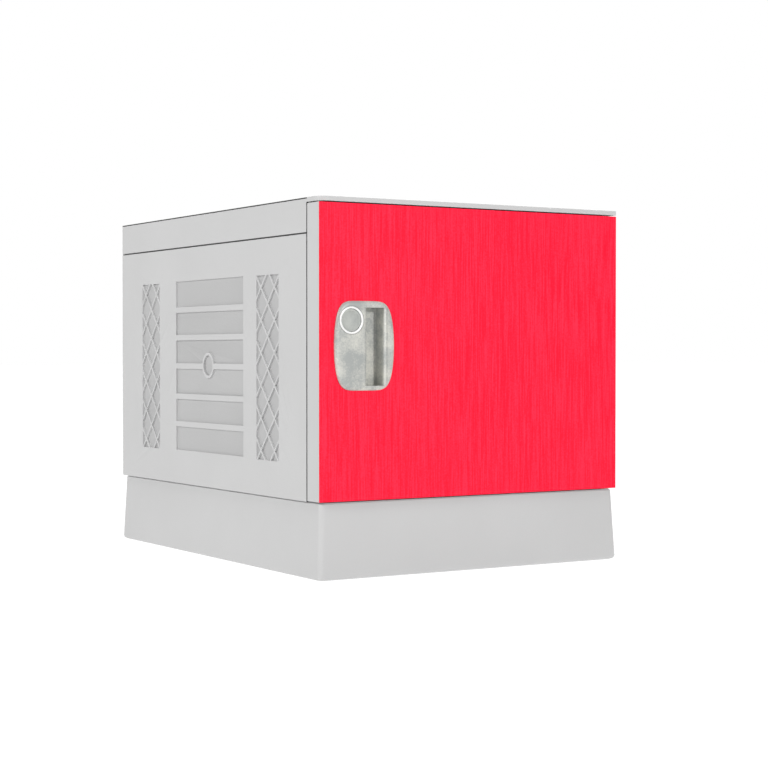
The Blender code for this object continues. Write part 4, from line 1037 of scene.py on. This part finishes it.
def make_screw(context, node, facing):
    """A screw with a low domed head and a cross recess, as long and as wide as its CAD node."""
    low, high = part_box(node)
    size = high - low
    radius = min(size[axis] for axis in range(3) if not facing[axis]) / 2
    length = max(size[axis] for axis in range(3) if facing[axis])
    top = (low + high) / 2 + facing * length / 2
    head = SCREW_HEAD * radius
    shank = SCREW_SHANK * radius
    profile = [(0, 0)]
    for step in range(1, SCREW_DOME_STEPS + 1):
        turn = math.pi / 2 * step / SCREW_DOME_STEPS
        profile.append((radius * math.sin(turn), -SCREW_DOME * head * (1 - math.cos(turn))))
    profile += [(radius, -head), (shank, -head), (shank, shank - length), (0, -length)]
    mesh = turned_mesh(node + "_finished", profile, top, facing, 40)
    piece = place_piece(node + "_finished", mesh, node, context)
    turn = Vector((0, 0, 1)).rotation_difference(facing).to_matrix().to_4x4()
    where = Matrix.Translation(top) @ turn
    arm, slot = CROSS_ARM * radius, CROSS_WIDTH * radius
    for long_x, long_y in ((arm, slot), (slot, arm)):
        foot = (-long_x, -long_y, -CROSS_DEPTH * head)
        blade = box_mesh("blade", foot, (long_x, long_y, head))
        blade.transform(where)
        combine(piece, "DIFFERENCE", blade)
    piece.data.shade_smooth()
    piece.data.set_sharp_from_angle(angle=math.radians(40))


class LOCKER_OT_stage(bpy.types.Operator):
    """Set the pale floor, the soft studio light and the camera"""

    bl_idname = "locker.stage"
    bl_label = "Stage"

    def execute(self, context):
        make_floor(context)
        make_lights(context)
        make_camera(context)
        return {"FINISHED"}


def make_floor(context):
    """A wide back-lit floor that stays white under the object's soft shade."""
    reach = 30.0
    corners = [(-reach, -reach, 0), (reach, -reach, 0), (reach, reach, 0), (-reach, reach, 0)]
    mesh = bpy.data.meshes.new("floor")
    mesh.from_pydata(corners, [], [(0, 1, 2, 3)])
    floor = bpy.data.objects.new("floor", mesh)
    context.scene.collection.objects.link(floor)
    material, tree, shader = new_material("back-lit white acrylic floor", Roughness=0.9)
    shader.inputs["Specular IOR Level"].default_value = 0.0
    shader.inputs["Emission Color"].default_value = (1, 1, 1, 1)
    shader.inputs["Emission Strength"].default_value = 1.0
    place = add_node(tree, "ShaderNodeTexCoord").outputs["Object"]
    cloud = add_node(tree, "ShaderNodeTexNoise", {"Vector": place, "Scale": 0.7})
    tint = add_node(
        tree,
        "ShaderNodeMix",
        {0: cloud.outputs["Fac"], 6: opaque(to_linear("606060")), 7: opaque(to_linear("646464"))},
        data_type="RGBA",
    )
    tree.links.new(tint.outputs[2], shader.inputs["Base Color"])
    mesh.materials.append(material)


def make_lights(context):
    """A white room that lights less than it shows, a low key light and soft boxes round it."""
    world = bpy.data.worlds.new("white studio")
    context.scene.world = world
    world.use_nodes = True
    tree = world.node_tree
    background = tree.nodes["Background"]
    background.inputs["Color"].default_value = (1, 1, 1, 1)
    seen = add_node(tree, "ShaderNodeLightPath").outputs["Is Camera Ray"]
    strength = add_node(
        tree, "ShaderNodeMapRange", {"Value": seen, "To Min": ROOM_LIGHT, "To Max": 1.0}
    )
    tree.links.new(strength.outputs["Result"], background.inputs["Strength"])
    for name, place, size, share in LIGHTS:
        towards = Vector(LIGHT_TARGET) - Vector(place)
        light = bpy.data.lights.new(name, "AREA")
        light.size = size
        light.energy = share * math.pi**2 * towards.length_squared
        lamp = bpy.data.objects.new(name, light)
        context.scene.collection.objects.link(lamp)
        lamp.location = place
        lamp.rotation_mode = "QUATERNION"
        lamp.rotation_quaternion = towards.to_track_quat("-Z", "Y")
    context.scene.view_settings.view_transform = "Standard"


def make_camera(context):
    """A long lens a little below the cap's height, looking at the door from its left."""
    camera = bpy.data.cameras.new("camera")
    camera.sensor_width = 36.0
    camera.lens = 82.405
    shooter = bpy.data.objects.new("camera", camera)
    context.scene.collection.objects.link(shooter)
    shooter.location = (-1.0629, -1.7962, 0.2307)
    shooter.rotation_euler = (math.radians(90 - 0.989), 0, math.radians(-31.533))
    context.scene.camera = shooter


class LOCKER_PT_panel(bpy.types.Panel):
    """Lists the locker's pieces in the sidebar"""

    bl_label = "Locker"
    bl_idname = "LOCKER_PT_panel"
    bl_space_type = "VIEW_3D"
    bl_region_type = "UI"
    bl_category = "Locker"

    def draw(self, context):
        layout = self.layout
        for group in (context.scene.locker_sizes, context.scene.locker_colours):
            box = layout.box()
            for name in group.__annotations__:
                box.prop(group, name)
        for operator in OPERATORS:
            layout.operator(operator.bl_idname)


OPERATORS = (
    LOCKER_OT_stage,
    LOCKER_OT_plinth,
    LOCKER_OT_panels,
    LOCKER_OT_joint_plugs,
    LOCKER_OT_cap,
    LOCKER_OT_door,
    LOCKER_OT_handle_plate,
    LOCKER_OT_lock,
    LOCKER_OT_hinge,
    LOCKER_OT_strike,
    LOCKER_OT_charging_unit,
    LOCKER_OT_power,
    LOCKER_OT_screws,
)
CLASSES = (LockerSizes, LockerColours, *OPERATORS, LOCKER_PT_panel)


def register():
    for cls in CLASSES:
        bpy.utils.register_class(cls)
    bpy.types.Scene.locker_sizes = bpy.props.PointerProperty(type=LockerSizes)
    bpy.types.Scene.locker_colours = bpy.props.PointerProperty(type=LockerColours)


def unregister():
    del bpy.types.Scene.locker_colours
    del bpy.types.Scene.locker_sizes
    for cls in reversed(CLASSES):
        bpy.utils.unregister_class(cls)


def main():
    register()
    for operator in OPERATORS:
        group, name = operator.bl_idname.split(".")
        getattr(getattr(bpy.ops, group), name)()


if __name__ == "__main__":
    main()
